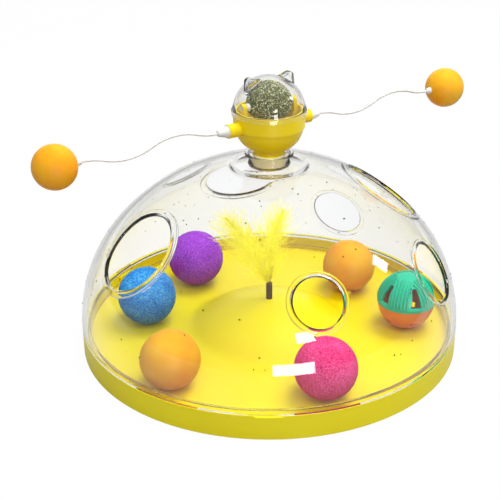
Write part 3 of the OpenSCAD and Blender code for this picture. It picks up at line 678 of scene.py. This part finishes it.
def dome_outline():
    collar_r, collar_in_r, lip_r, bore_r = 13 * MM, 11 * MM, 15.5 * MM, 5.3 * MM
    step_out_r, step_in_r, step_points = 26.5 * MM, 22 * MM, 8
    flat_z = CROWN_Z - 1.0 * MM
    collar_foot, floor_top, lip_under = CROWN_Z - 4.3 * MM, CROWN_Z - 2.3 * MM, DOME_TOP_Z - 1.6 * MM
    foot_ring_z = DOME_FOOT_Z + DOME_WALL
    outer_low, inner_low = 0.004, math.asin(DOME_WALL / (SIDE_R - DOME_WALL))
    outer_top = math.acos(step_out_r / CROWN_R)
    inner_top = math.acos(collar_r / (CROWN_R - DOME_WALL))
    corners = [(r, z, 0) for r, z in wall_points(0, outer_low, outer_top, WALL_STEPS)]
    # The crown swells softly to a flat round the collar
    for k in range(1, step_points + 1):
        f = k / step_points
        r = step_out_r + (step_in_r - step_out_r) * f
        arc_z = CROWN_MIDDLE_Z + math.sqrt(CROWN_R**2 - r**2)
        corners.append((r, arc_z + (flat_z - arc_z) * f * f * (3 - 2 * f), 0))
    corners += [
        (collar_r, flat_z, 1.0 * MM),
        (collar_r, lip_under, 0.8 * MM),
        (lip_r, lip_under, 0.5 * MM),
        (lip_r, DOME_TOP_Z, 0.7 * MM),
        (collar_in_r, DOME_TOP_Z, 0.6 * MM),
        (collar_in_r, floor_top, 0.6 * MM),
        (bore_r, floor_top, 0.3 * MM),
        (bore_r, collar_foot, 0.3 * MM),
        (collar_r, collar_foot, 0.6 * MM),
    ]
    inner_wall = wall_points(DOME_WALL, inner_low, inner_top, WALL_STEPS)
    corners += [(r, z, 0) for r, z in reversed(inner_wall)]
    corners += [
        (SKIRT_IN_R, foot_ring_z, 1.0 * MM),
        (SKIRT_IN_R, RIM_Z - SKIRT_DEPTH, 0.5 * MM),
        (SKIRT_R, RIM_Z - SKIRT_DEPTH, 0.5 * MM),
        (SKIRT_R, DOME_FOOT_Z, 0.3 * MM),
        (DOME_R, DOME_FOOT_Z, 0.4 * MM),
    ]
    return rounded_outline(corners, 4)


def bead_outline(bore, bead, fall):
    """A paw hole's rim in section: a flat band that follows the wall, stands proud of both its faces and
    thins to a narrow edge at the bore."""
    bore_r, ring_r = bore / 2, (bore + bead) / 2
    half, edge = DOME_WALL / 2 + BEAD_PROUD, BORE_EDGE / 2
    under = [
        (bore_r, -edge, edge),
        (bore_r + BEAD_TAPER, -half, BEAD_CORNER),
        (bore_r + bead, -half, BEAD_CORNER),
    ]
    over = [(r, -z, corner) for r, z, corner in reversed(under)]
    return rounded_outline([(r, z - (r - ring_r) * fall, corner) for r, z, corner in under + over], 5)


def make_dome():
    shell = revolved("dome_shell", dome_outline(), DOME_TURNS)
    cutters, beads, lugs = bmesh.new(), bmesh.new(), bmesh.new()
    for hole in PAW_HOLES:
        place, fall = hole_place(*hole)
        bore, bead = hole[2:]
        ends = {"radius1": (bore + bead) / 2, "radius2": (bore + bead) / 2}
        bmesh.ops.create_cone(
            cutters, cap_ends=True, segments=HOLE_TURNS, depth=bore, matrix=place, **ends
        )
        turned_outline(beads, bead_outline(bore, bead, fall), HOLE_TURNS, place)
    lug_low = RIM_Z - SKIRT_DEPTH + LUG_RAISED
    for turn in LUG_TURNS:
        arc_block(
            lugs, SKIRT_IN_R + MM, SKIRT_R + LUG_OUT, lug_low, lug_low + LUG_H, math.radians(turn), LUG_W
        )
    cut = combined(shell, mesh_from("paw_hole_cutters", cutters), "DIFFERENCE")
    whole = combined(cut, mesh_from("paw_hole_beads", beads), "UNION")
    whole = combined(whole, mesh_from("skirt_lugs", lugs), "UNION")
    return smoothed_mesh(whole)


DOME_MESH = make_dome()
show_piece("dome_clear_shell", DOME_MESH, "dome", ("dome",), DOME_CLEAR)


# Lid with cat's ears

LID_LOW_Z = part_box("catnip_lid")[0][2]
EAR_W, EAR_UP, EAR_T, EAR_SLOPE = 13 * MM, 5 * MM, 5 * MM, 56


def arc_corners(radius, middle_z, start, end, steps):
    """Unrounded corners of an outline along an arc whose middle is on the upright axis."""
    angles = [start + (end - start) * k / steps for k in range(steps + 1)]
    return [(radius * math.cos(a), middle_z + radius * math.sin(a), 0) for a in angles]


def make_lid():
    cup_r = 22.5 * MM
    skirt_in_r = cup_r + 0.3 * MM
    skirt_r = skirt_in_r + 0.9 * MM
    rise, wall = 20.8 * MM, 1.3 * MM
    skirt_depth, arc_above_seat = 3.3 * MM, 2.4 * MM
    seat_z = LID_LOW_Z + skirt_depth
    ball_r = (skirt_in_r**2 + rise**2) / (2 * rise)
    middle_z = seat_z + rise - ball_r
    low = math.asin((seat_z + arc_above_seat - middle_z) / ball_r)
    low_in = math.asin((seat_z - middle_z) / (ball_r - wall))
    steps = 28
    tip = 0.3 * MM
    outer_end, inner_end = math.acos(tip / ball_r), math.acos(tip / (ball_r - wall))
    corners = [(skirt_r, LID_LOW_Z, 0.3 * MM), (skirt_r, seat_z - 0.6 * MM, 1.2 * MM)]
    corners += arc_corners(ball_r, middle_z, low, outer_end, steps)
    corners += reversed(arc_corners(ball_r - wall, middle_z, low_in, inner_end, steps))
    corners += [(skirt_in_r, seat_z, 0.2 * MM), (skirt_in_r, LID_LOW_Z, 0.3 * MM)]
    lid = revolved("lid_shell", rounded_outline(corners, 4), LID_TURNS)
    ears, hollows = bmesh.new(), bmesh.new()
    for side in (-1, 1):
        place = Matrix.Rotation(ARM_TURN, 4, "Z") @ Matrix.Translation((0, 0, middle_z))
        place = place @ Matrix.Rotation(side * math.radians(90 - EAR_SLOPE), 4, "Y")
        outer_low, outer_top = ball_r - wall * 0.7, ball_r + EAR_UP
        outer = ear_outline(EAR_W, outer_low, ball_r, outer_top, corner=1.3 * MM)
        ear_slab(ears, outer, EAR_T, 0.6 * MM, place)
        inner_w, inner_top = EAR_W - 2 * wall, ball_r + EAR_UP - 1.5 * wall
        inner = ear_outline(inner_w, ball_r - 2 * wall, ball_r, inner_top, corner=0.8 * MM)
        ear_slab(hollows, inner, EAR_T - 2 * wall, 0.3 * MM, place)
    for bm in (ears, hollows):
        bmesh.ops.recalc_face_normals(bm, faces=bm.faces)
    lid = combined(lid, mesh_from("lid_ears", ears), "UNION")
    return combined(lid, mesh_from("ear_hollows", hollows), "DIFFERENCE")


def ear_outline(foot, low, ball_r, top, corner):
    """A triangle across and up, whose straight sides run from its shoulders to a round tip."""
    half, shoulder, tip_r = foot / 2, ball_r - foot / 6, foot / 5
    tip_middle = top - tip_r
    low = min(low, shoulder - 0.5 * MM)
    rise = tip_middle - shoulder
    first = math.acos(tip_r / math.hypot(half, rise)) - math.atan2(rise, half)
    corners = [(-half, shoulder, corner), (-half, low, 0), (half, low, 0), (half, shoulder, corner)]
    tip_steps = 8
    for k in range(tip_steps + 1):
        a = first + (math.pi - 2 * first) * k / tip_steps
        corners.append((tip_r * math.cos(a), tip_middle + tip_r * math.sin(a), 0))
    return rounded_outline(corners, 5)


def ear_slab(bm, outline, thick, bevel, place):
    """A slab of that outline whose two outer rims are turned over by the bevel."""
    middle = sum(outline, Vector((0, 0))) / len(outline)
    loops = []
    steps = 4
    for k in range(-steps, steps + 1):
        turn = math.pi / 2 * max(0, abs(k) - 1) / (steps - 1)
        depth = math.copysign(thick / 2 - bevel * (1 - math.sin(turn)), k) if k else 0.0
        inset = bevel * (1 - math.cos(turn))
        loop = []
        for point in outline:
            away = point - middle
            kept = middle + away * (1 - inset / away.length)
            loop.append(bm.verts.new(place @ Vector((kept.x, depth, kept.y))))
        loops.append(loop)
    stitch(bm, loops)
    bm.faces.new(loops[0])
    bm.faces.new(loops[-1])


lid_mesh = smoothed_mesh(make_lid())
show_piece("catnip_lid_clear", lid_mesh, "lid", ("catnip_lid",), LID_CLEAR)


# Loose balls and end balls


def grained_ball(name, node, levels, amount, grain, radius=None):
    """A ball whose skin stands in and out of the true ball by a fine grain."""
    middle = node_middle(node)
    radius = (radius or node_size(node).z / 2) - amount
    coarse_share, fine_share, fine_scale = 0.65, 0.35, 2.3
    bm = bmesh.new()
    bmesh.ops.create_icosphere(bm, subdivisions=levels, radius=1.0)
    for vert in bm.verts:
        way = vert.co.normalized()
        spot = (middle + way * radius) / grain
        rough = noise.noise(spot) * coarse_share + noise.noise(spot * fine_scale) * fine_share
        vert.co = middle + way * (radius + amount * rough)
    for face in bm.faces:
        face.smooth = True
    return mesh_from(name, bm)


for node, material in (
    ("plush_ball_blue", SPONGE_BLUE),
    ("plush_ball_purple", SPONGE_PURPLE),
    ("plush_ball_pink", SPONGE_PINK),
):
    ball = grained_ball(node + "_sponge", node, levels=6, amount=0.28 * MM, grain=1.1 * MM)
    show_node(node, "_sponge", ball, material)

for node in ("orange_ball_rear", "orange_ball_front", "end_ball_left", "end_ball_right"):
    ball = grained_ball(node + "_foam", node, levels=5, amount=0.06 * MM, grain=2.5 * MM)
    show_node(node, "_foam", ball, FOAM_ORANGE)


# Ribs on the bell ball: straps of parallel ribs up the panels between the windows


def rib_tree():
    sockets = {
        "Ball Radius": "Float",
        "Rib Radius": "Float",
        "Pitch": "Float",
        "Ribs": "Int",
        "Panels": "Int",
        "First Turn": "Float",
        "Middle": "Vector",
    }
    t, given = growth_tree("bell_ball_ribs", sockets)
    low, high = math.radians(9), math.radians(69)
    sweep = {"Radius": given["Ball Radius"], "Start Angle": low, "Sweep Angle": high - low}
    arc = t.out("GeometryNodeCurveArc", {"Resolution": 20, **sweep}, mode="RADIUS")
    upright = t.out("GeometryNodeTransform", {"Geometry": arc, "Rotation": (math.pi / 2, 0, 0)})
    rib = tube(t, upright, 8, given["Rib Radius"], caps=True)
    count = t.times(given["Ribs"], given["Panels"])
    points = t.out("GeometryNodePoints", {"Count": count})
    index = t.out("GeometryNodeInputIndex")
    panel = t.math("FLOOR", t.math("DIVIDE", t.math("ADD", index, 0.5), given["Ribs"]))
    rank = t.math("SUBTRACT", index, t.times(panel, given["Ribs"]))
    across = t.math("SUBTRACT", rank, t.math("DIVIDE", t.math("SUBTRACT", given["Ribs"], 1.0), 2.0))
    offset = t.times(across, given["Pitch"])
    step = t.math("DIVIDE", 2 * math.pi, given["Panels"])
    turn = t.math("ADD", t.times(panel, step), given["First Turn"])
    share = t.math("DIVIDE", offset, given["Ball Radius"])
    shrink = t.math("SQRT", t.math("SUBTRACT", 1.0, t.times(share, share)))
    inputs = {"Vector": euler(t, y=offset), "Angle": turn}
    placed = t.out("ShaderNodeVectorRotate", inputs, rotation_type="Z_AXIS")
    spot = t.out("ShaderNodeVectorMath", {0: placed, 1: given["Middle"]}, operation="ADD")
    moved = t.out("GeometryNodeSetPosition", {"Geometry": points, "Position": spot})
    finish_growth(t, given, instances(t, moved, rib, euler(t, z=turn), shrink))
    return t


WINDOW_TURN = math.radians(-76.5)
BELL_BALL_R = 19 * MM
RIB_PROUD = 0.25 * MM
bell_rib_mesh = grown(
    "bell_ball_ribs",
    bpy.data.meshes.new("rib_carrier"),
    rib_tree(),
    {
        "Ball Radius": BELL_BALL_R + RIB_PROUD,
        "Rib Radius": 0.75 * MM,
        "Pitch": 2.15 * MM,
        "Ribs": 6,
        "Panels": 5,
        "First Turn": WINDOW_TURN + math.pi / 5,
        "Middle": Vector((*node_middle("bell_ball_top").xy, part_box("bell_ball_top")[0][2])),
        "Material": TEAL,
    },
)
for face in bell_rib_mesh.polygons:
    face.use_smooth = True
show_piece("bell_ball_ribs", bell_rib_mesh, BODY_OF["bell_ball_top"])


# Catnip ball: a lumpy core closed over by pressed leaf crumbs


def crumb_tree():
    t, given = growth_tree("catnip_crumbs", {"Crumbs Per Area": "Float", "Crumb Size": "Float"})
    core_tone = 0.22
    core = stored(t, given["Geometry"], "crumb_tone", core_tone)
    spread = {"Mesh": given["Geometry"], "Density": given["Crumbs Per Area"], "Seed": 4}
    tilt = random_value(t, (-0.7, -0.7, 0.0), (0.7, 0.7, MOST_OF_TURN), seed=7)
    scale = random_value(t, 0.5, 1.35, seed=9)
    crumbs = flakes(t, spread, given["Crumb Size"], (1.0, 0.5, 0.28), tilt, scale)
    toned = stored(t, crumbs, "crumb_tone", random_value(t, 0.0, 1.0, seed=12), "INSTANCE")
    finish_growth(t, given, joined(t, core, toned))
    return t


CATNIP_CORE_R = 14.5 * MM + 0.1 * MM
catnip_mesh = grown(
    "catnip_ball_crumbled",
    grained_ball("catnip_core", "catnip_ball", 4, amount=0.5 * MM, grain=3.5 * MM, radius=CATNIP_CORE_R),
    crumb_tree(),
    {"Crumbs Per Area": 2.4e6, "Crumb Size": 0.6 * MM, "Material": CATNIP_LEAF},
)
show_piece("catnip_ball_crumbled", catnip_mesh, "catnip", ("catnip_ball",))


# Feather: two marabou plumes, each a bent quill set round with soft barbs that carry finer hairs


def marabou_tree():
    sockets = {
        "Barbs": "Int",
        "Barb Length": "Float",
        "Barb Radius": "Float",
        "Hairs": "Int",
        "Hair Length": "Float",
        "Hair Width": "Float",
        "Shaft Radius": "Float",
        "Sway": "Float",
    }
    t, given = growth_tree("marabou", sockets)
    # One barb, standing out along X and bending up along Z
    length = given["Barb Length"]

    def at(x, y, z):
        return euler(t, *(t.times(length, share) for share in (x, y, z)))

    path = {"Start": (0.0, 0.0, 0.0), "Middle": at(0.5, 0.05, 0.28), "End": at(0.72, 0.22, 0.85)}
    bow = t.out("GeometryNodeCurveQuadraticBezier", {"Resolution": 6, **path})
    reach = t.out("GeometryNodeSplineParameter", output="Factor")
    bow = stored(t, bow, "barb_reach", reach)
    shaft = tube(t, bow, 3, given["Barb Radius"])
    rooted = {"Curve": bow, "Count": given["Hairs"]}
    roots = t.add("GeometryNodeCurveToPoints", rooted, mode="COUNT").outputs
    size = {"Size X": given["Hair Width"], "Size Y": given["Hair Length"]}
    strip = t.out("GeometryNodeMeshGrid", {**size, "Vertices X": 2, "Vertices Y": 2})
    half = euler(t, y=t.times(given["Hair Length"], 0.5))
    strip = t.out("GeometryNodeTransform", {"Geometry": strip, "Translation": half})
    splay = random_value(t, (0.3, 0.0, 0.0), (0.9, 0.0, MOST_OF_TURN), seed=3)
    around = t.add("ShaderNodeSeparateXYZ", {0: splay}).outputs
    hair_turn = turned(t, roots["Rotation"], euler(t, z=around["Z"]))
    hair_turn = turned(t, hair_turn, euler(t, x=around["X"]))
    hairs = instances(t, roots["Points"], strip, hair_turn, random_value(t, 0.5, 1.2, seed=5))
    barb = joined(t, shaft, hairs)
    # The quill and the barbs set round it
    quill = t.out("GeometryNodeMeshToCurve", {"Mesh": given["Geometry"]})
    core = tube(t, quill, 6, given["Shaft Radius"])
    seated = {"Curve": quill, "Count": given["Barbs"]}
    seats = t.add("GeometryNodeCurveToPoints", seated, mode="COUNT").outputs
    along = t.math("DIVIDE", t.out("GeometryNodeInputIndex"), given["Barbs"])
    shape = t.add("ShaderNodeFloatCurve", {"Value": along})
    points = shape.mapping.curves[0].points
    points[0].location = (0.0, 0.5)
    points[1].location = (1.0, 0.36)
    for place in ((0.15, 0.85), (0.35, 1.0), (0.6, 0.92), (0.85, 0.64)):
        points.new(*place)
    shape.mapping.update()
    # Most barbs are short, and a few long ones make the fuzz
    rarity, spread, least = 4.0, 0.8, 0.36
    chance = t.math("POWER", random_value(t, 0.0, 1.0, seed=17), rarity)
    share = t.math("ADD", t.times(chance, spread), least)
    size = t.times(shape.outputs[0], share)
    spin = turned(t, seats["Rotation"], euler(t, z=random_value(t, 0.0, FULL_TURN, seed=19)))
    spin = turned(t, spin, euler(t, y=random_value(t, -0.35, 0.35, seed=23)))
    barbs = instances(t, seats["Points"], barb, spin, size)
    real = t.out("GeometryNodeRealizeInstances", {"Geometry": barbs})
    waft = t.noise(t.out("GeometryNodeInputPosition"), 70.0, output="Color")
    centred = t.out("ShaderNodeVectorMath", {0: waft, 1: (0.5, 0.5, 0.5)}, operation="SUBTRACT")
    far = t.out("GeometryNodeInputNamedAttribute", {"Name": "barb_reach"}, data_type="FLOAT")
    amount = t.times(far, given["Sway"])
    drift = t.out("ShaderNodeVectorMath", {0: centred, "Scale": amount}, operation="SCALE")
    soft = t.out("GeometryNodeSetPosition", {"Geometry": real, "Offset": drift})
    finish_growth(t, given, joined(t, stored(t, core, "barb_reach", 0.0), soft))
    return t


def bent_quill(name, start, end, bow, steps=24):
    """A chain of edges from start to end, bowed sideways by a vector at its middle."""
    bm = bmesh.new()
    last = None
    for k in range(steps + 1):
        f = k / steps
        vert = bm.verts.new(start.lerp(end, f) + bow * (4 * f * (1 - f)))
        if last is not None:
            bm.edges.new((last, vert))
        last = vert
    return mesh_from(name, bm)


MARABOU = marabou_tree()
# A quill ends this far under its plume's top, and bows this far towards the other quill
QUILL_SHORT, QUILL_BOW = 6 * MM, 3 * MM
QUILL_FOOT = Vector((*node_middle("feather_ferrule").xy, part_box("feather_ferrule")[1][2]))
for side, node, barb_length, splay in (
    (-1, "feather_plume_left", 20 * MM, 3 * MM),
    (1, "feather_plume_right", 18 * MM, -2 * MM),
):
    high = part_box(node)[1]
    lean = (node_middle(node) - QUILL_FOOT).normalized()
    tip = QUILL_FOOT + lean * (high.z - QUILL_SHORT - QUILL_FOOT.z) / lean.z
    tip += Vector((side * splay, 0, 0))
    quill = bent_quill(node + "_quill", QUILL_FOOT, tip, Vector((-side * QUILL_BOW, 0, 0)))
    plume = grown(
        node + "_barbs",
        quill,
        MARABOU,
        {
            "Barbs": 1300,
            "Barb Length": barb_length,
            "Barb Radius": 0.09 * MM,
            "Hairs": 26,
            "Hair Length": 3.2 * MM,
            "Hair Width": 0.1 * MM,
            "Shaft Radius": 0.5 * MM,
            "Sway": 9 * MM,
            "Material": FEATHER_DOWN,
        },
    )
    show_node(node, "_barbs", plume)


# Crumbs that have spilled from the catnip: dark specks on the dome


def speck_tree():
    t, given = growth_tree("spilled_crumbs", {"Density": "Float", "Size": "Float", "Low": "Float"})
    normal = t.out("GeometryNodeInputNormal")
    position = t.out("GeometryNodeInputPosition")
    along = {0: normal, 1: position}
    outward = t.out("ShaderNodeVectorMath", along, output="Value", operation="DOT_PRODUCT")
    up = t.out("ShaderNodeSeparateXYZ", {0: normal}, output="Z")
    height = t.out("ShaderNodeSeparateXYZ", {0: position}, output="Z")
    least_up = 0.15
    outside, level = t.math("GREATER_THAN", outward, 0.0), t.math("GREATER_THAN", up, least_up)
    high = t.math("GREATER_THAN", height, given["Low"])
    chosen = t.times(t.times(outside, level), high)
    spread = {"Mesh": given["Geometry"], "Selection": chosen, "Density": given["Density"], "Seed": 21}
    tilt = random_value(t, (-0.2, -0.2, 0.0), (0.2, 0.2, MOST_OF_TURN), seed=8)
    scale = random_value(t, 0.4, 1.3, seed=6)
    specks = flakes(t, spread, given["Size"], (1.0, 0.7, 0.35), tilt, scale)
    finish_growth(t, given, specks)
    return t


dome_specks = grown(
    "dome_crumbs",
    DOME_MESH.copy(),
    speck_tree(),
    {"Density": 3000.0, "Size": 0.65 * MM, "Low": 24 * MM, "Material": CRUMB_DARK},
)
show_piece("dome_crumbs", dome_specks, "dome")


# Studio: the photograph's camera, a white floor and room, a soft key from above, a soft fill from the
# front, and the windows that the dome mirrors

PHOTO_SIZE = 500
PHOTO_FOCAL_PX = 1069.65
PHOTO_AXIS_PX = (269.18, 260.70)
CAMERA_PLACE = Vector((0.0, -0.6350, 0.3683))
CAMERA_AIM = Vector((0.0, 0.0, 0.055))
SENSOR_MM = 36.0


def aimed(place, aim):
    return (Vector(aim) - Vector(place)).to_track_quat("-Z", "Y").to_euler()


camera_data = bpy.data.cameras.new("photo_camera")
camera_data.sensor_width = SENSOR_MM
camera_data.lens = PHOTO_FOCAL_PX / PHOTO_SIZE * SENSOR_MM
camera_data.shift_x = -(PHOTO_AXIS_PX[0] - PHOTO_SIZE / 2) / PHOTO_SIZE
camera_data.shift_y = (PHOTO_AXIS_PX[1] - PHOTO_SIZE / 2) / PHOTO_SIZE
camera = link_object("photo_camera", camera_data)
camera.location = CAMERA_PLACE
camera.rotation_euler = aimed(CAMERA_PLACE, CAMERA_AIM)
SCENE.camera = camera

FLOOR_SIZE = 12.0
# How bright the room and the floor are for bounced light and for mirrored, bent and rim rays
ROOM_LIGHT = 0.5
FRONT_MIRRORED = 0.12
BACK_MIRRORED = 0.85
FLAG_GREY = 0.45
EDGE_DARK = 0.08
FLOOR_GLOW = 1.03
FLOOR_SEEN = 0.95
FLOOR_NEAR = 0.92
FLOOR_MATT = 0.35
# How far out the floor's flags fade in, stand and fade out, and where its dim front begins and ends
FLAG_STARTS, FLAG_FULL, FLAG_ENDS, FLAG_GONE = 0.13, 0.3, 0.45, 0.8
DIM_FULL_Y, DIM_GONE_Y = -0.06, 0.04
# The same in the room, as parts of a ray's direction
ROOM_DIM_FULL, ROOM_DIM_GONE = -0.5, 0.1
ROOM_FLAG_STARTS, ROOM_FLAG_FULL = 0.3, 0.65
# A ray has run along inside the plastic when it has passed or been mirrored more often than this
STRAIGHT_PASSES, STRAIGHT_MIRRORINGS = 4.5, 1.5


def edge_ray(t, path):
    """One for a ray that has run along inside the clear plastic, as at a rim, and nought for one that has
    only passed straight through its walls."""
    long_way = t.math("GREATER_THAN", path["Transmission Depth"], STRAIGHT_PASSES)
    return t.math("MAXIMUM", long_way, t.math("GREATER_THAN", path["Glossy Depth"], STRAIGHT_MIRRORINGS))


def white_floor():
    """White where the camera looks. Mirrored and bent rays find it white near the toy and grey at both
    sides, where flags stand, mirrored rays find it dim in front, rays from a rim find it dark, and bounced
    light finds it matt grey."""
    material, t = new_material("white_floor")
    path = t.add("ShaderNodeLightPath").outputs
    place = t.add("ShaderNodeSeparateXYZ", {0: object_point(t)}).outputs
    near, flag = grey(FLOOR_NEAR), grey(FLAG_GREY)
    stops = [(FLAG_STARTS, near), (FLAG_FULL, flag), (FLAG_ENDS, flag), (FLAG_GONE, near)]
    shown = t.mapped(edge_ray(t, path), t.ramp(t.math("ABSOLUTE", place["X"]), stops), EDGE_DARK)
    ahead = t.mapped(place["Y"], FRONT_MIRRORED, 1.0, start=DIM_FULL_Y, end=DIM_GONE_Y)
    mirrored = t.times(path["Is Glossy Ray"], ahead)
    bent = t.math("MAXIMUM", mirrored, path["Is Transmission Ray"])
    straight = t.times(path["Is Camera Ray"], FLOOR_SEEN)
    share = t.math("MAXIMUM", straight, t.times(bent, shown))
    matt = t.out("ShaderNodeBsdfDiffuse", {"Color": grey(FLOOR_MATT)})
    glow = t.out("ShaderNodeEmission", {"Color": grey(1.0), "Strength": FLOOR_GLOW})
    return finished(material, t, t.out("ShaderNodeMixShader", {0: share, 1: matt, 2: glow}))


def white_room():
    """As the floor: white for the camera, dim in front for mirrored rays, grey at both sides for mirrored
    and bent rays, and dark for rays from a rim."""
    world = bpy.data.worlds.new("studio")
    world.use_nodes = True
    world.node_tree.nodes.clear()
    t = Tree(world.node_tree)
    path = t.add("ShaderNodeLightPath").outputs
    way = t.add("ShaderNodeSeparateXYZ", {0: t.out("ShaderNodeTexCoord", output="Generated")}).outputs
    ahead = t.mapped(way["Y"], FRONT_MIRRORED, BACK_MIRRORED, start=ROOM_DIM_FULL, end=ROOM_DIM_GONE)
    ahead = t.mapped(path["Is Transmission Ray"], ahead, BACK_MIRRORED)
    flagged = t.math("MINIMUM", ahead, FLAG_GREY)
    sideways = t.math("ABSOLUTE", way["X"])
    shown = t.mapped(sideways, ahead, flagged, start=ROOM_FLAG_STARTS, end=ROOM_FLAG_FULL)
    shown = t.mapped(edge_ray(t, path), shown, EDGE_DARK)
    bent = t.math("MAXIMUM", path["Is Glossy Ray"], path["Is Transmission Ray"])
    seen = t.times(path["Is Camera Ray"], 1.0 - ROOM_LIGHT)
    strength = t.math("ADD", seen, t.mapped(bent, ROOM_LIGHT, shown))
    glow = t.out("ShaderNodeBackground", {"Color": grey(1.0), "Strength": strength})
    t.add("ShaderNodeOutputWorld", {"Surface": glow})
    return world


bpy.ops.mesh.primitive_plane_add(size=FLOOR_SIZE, location=(0, 0, 0))
floor = bpy.context.object
floor.name = "studio_floor"
floor.data.materials.append(white_floor())
SCENE.world = white_room()


def softbox(name, place, aim, width, height, power):
    """A flat lamp that faces its aim."""
    light = bpy.data.lights.new(name, "AREA")
    light.shape = "RECTANGLE"
    light.size = width
    light.size_y = height
    light.energy = power
    lamp = link_object(name, light)
    lamp.location = place
    lamp.rotation_euler = aimed(place, aim)
    return lamp


KEY_PLACE, KEY_AIM = Vector((0.3, 0.1, 0.95)) * 1.35, (0, 0, 0.05)
FILL_PLACE, FILL_AIM = Vector((0.12, -0.6, 0.78)) * 1.4, (0, 0, 0.08)
key = softbox("key_softbox", KEY_PLACE, KEY_AIM, width=0.7, height=0.7, power=12.0)
fill = softbox("fill_softbox", FILL_PLACE, FILL_AIM, width=0.8, height=0.8, power=7.0)
for lamp in (key, fill):
    lamp.visible_glossy = False
    lamp.visible_transmission = False

# Windows that the dome mirrors: spot in the photograph, distance, width and height
DOME_GLINTS = (
    ("window_low", (297, 373), 1.0, 0.44, 0.24),
    ("window_front", (308, 337), 1.0, 0.2, 0.14),
    ("window_right", (381, 264), 1.1, 0.11, 0.16),
)
GLINT_RADIANCE = 17.0
dome_points = [v.co for v in DOME_MESH.vertices]
dome_tree = BVHTree.FromPolygons(dome_points, [p.vertices for p in DOME_MESH.polygons])
for name, spot, distance, width, height in DOME_GLINTS:
    right = (spot[0] - PHOTO_AXIS_PX[0]) / PHOTO_FOCAL_PX
    up = -(spot[1] - PHOTO_AXIS_PX[1]) / PHOTO_FOCAL_PX
    look = camera.rotation_euler.to_matrix() @ Vector((right, up, -1.0))
    met, normal = dome_tree.ray_cast(CAMERA_PLACE, look)[:2]
    place = met + look.normalized().reflect(normal) * distance
    lamp = softbox(name, place, met, width, height, GLINT_RADIANCE * math.pi * width * height)
    lamp.visible_diffuse = False

SCENE.view_settings.view_transform = "Standard"
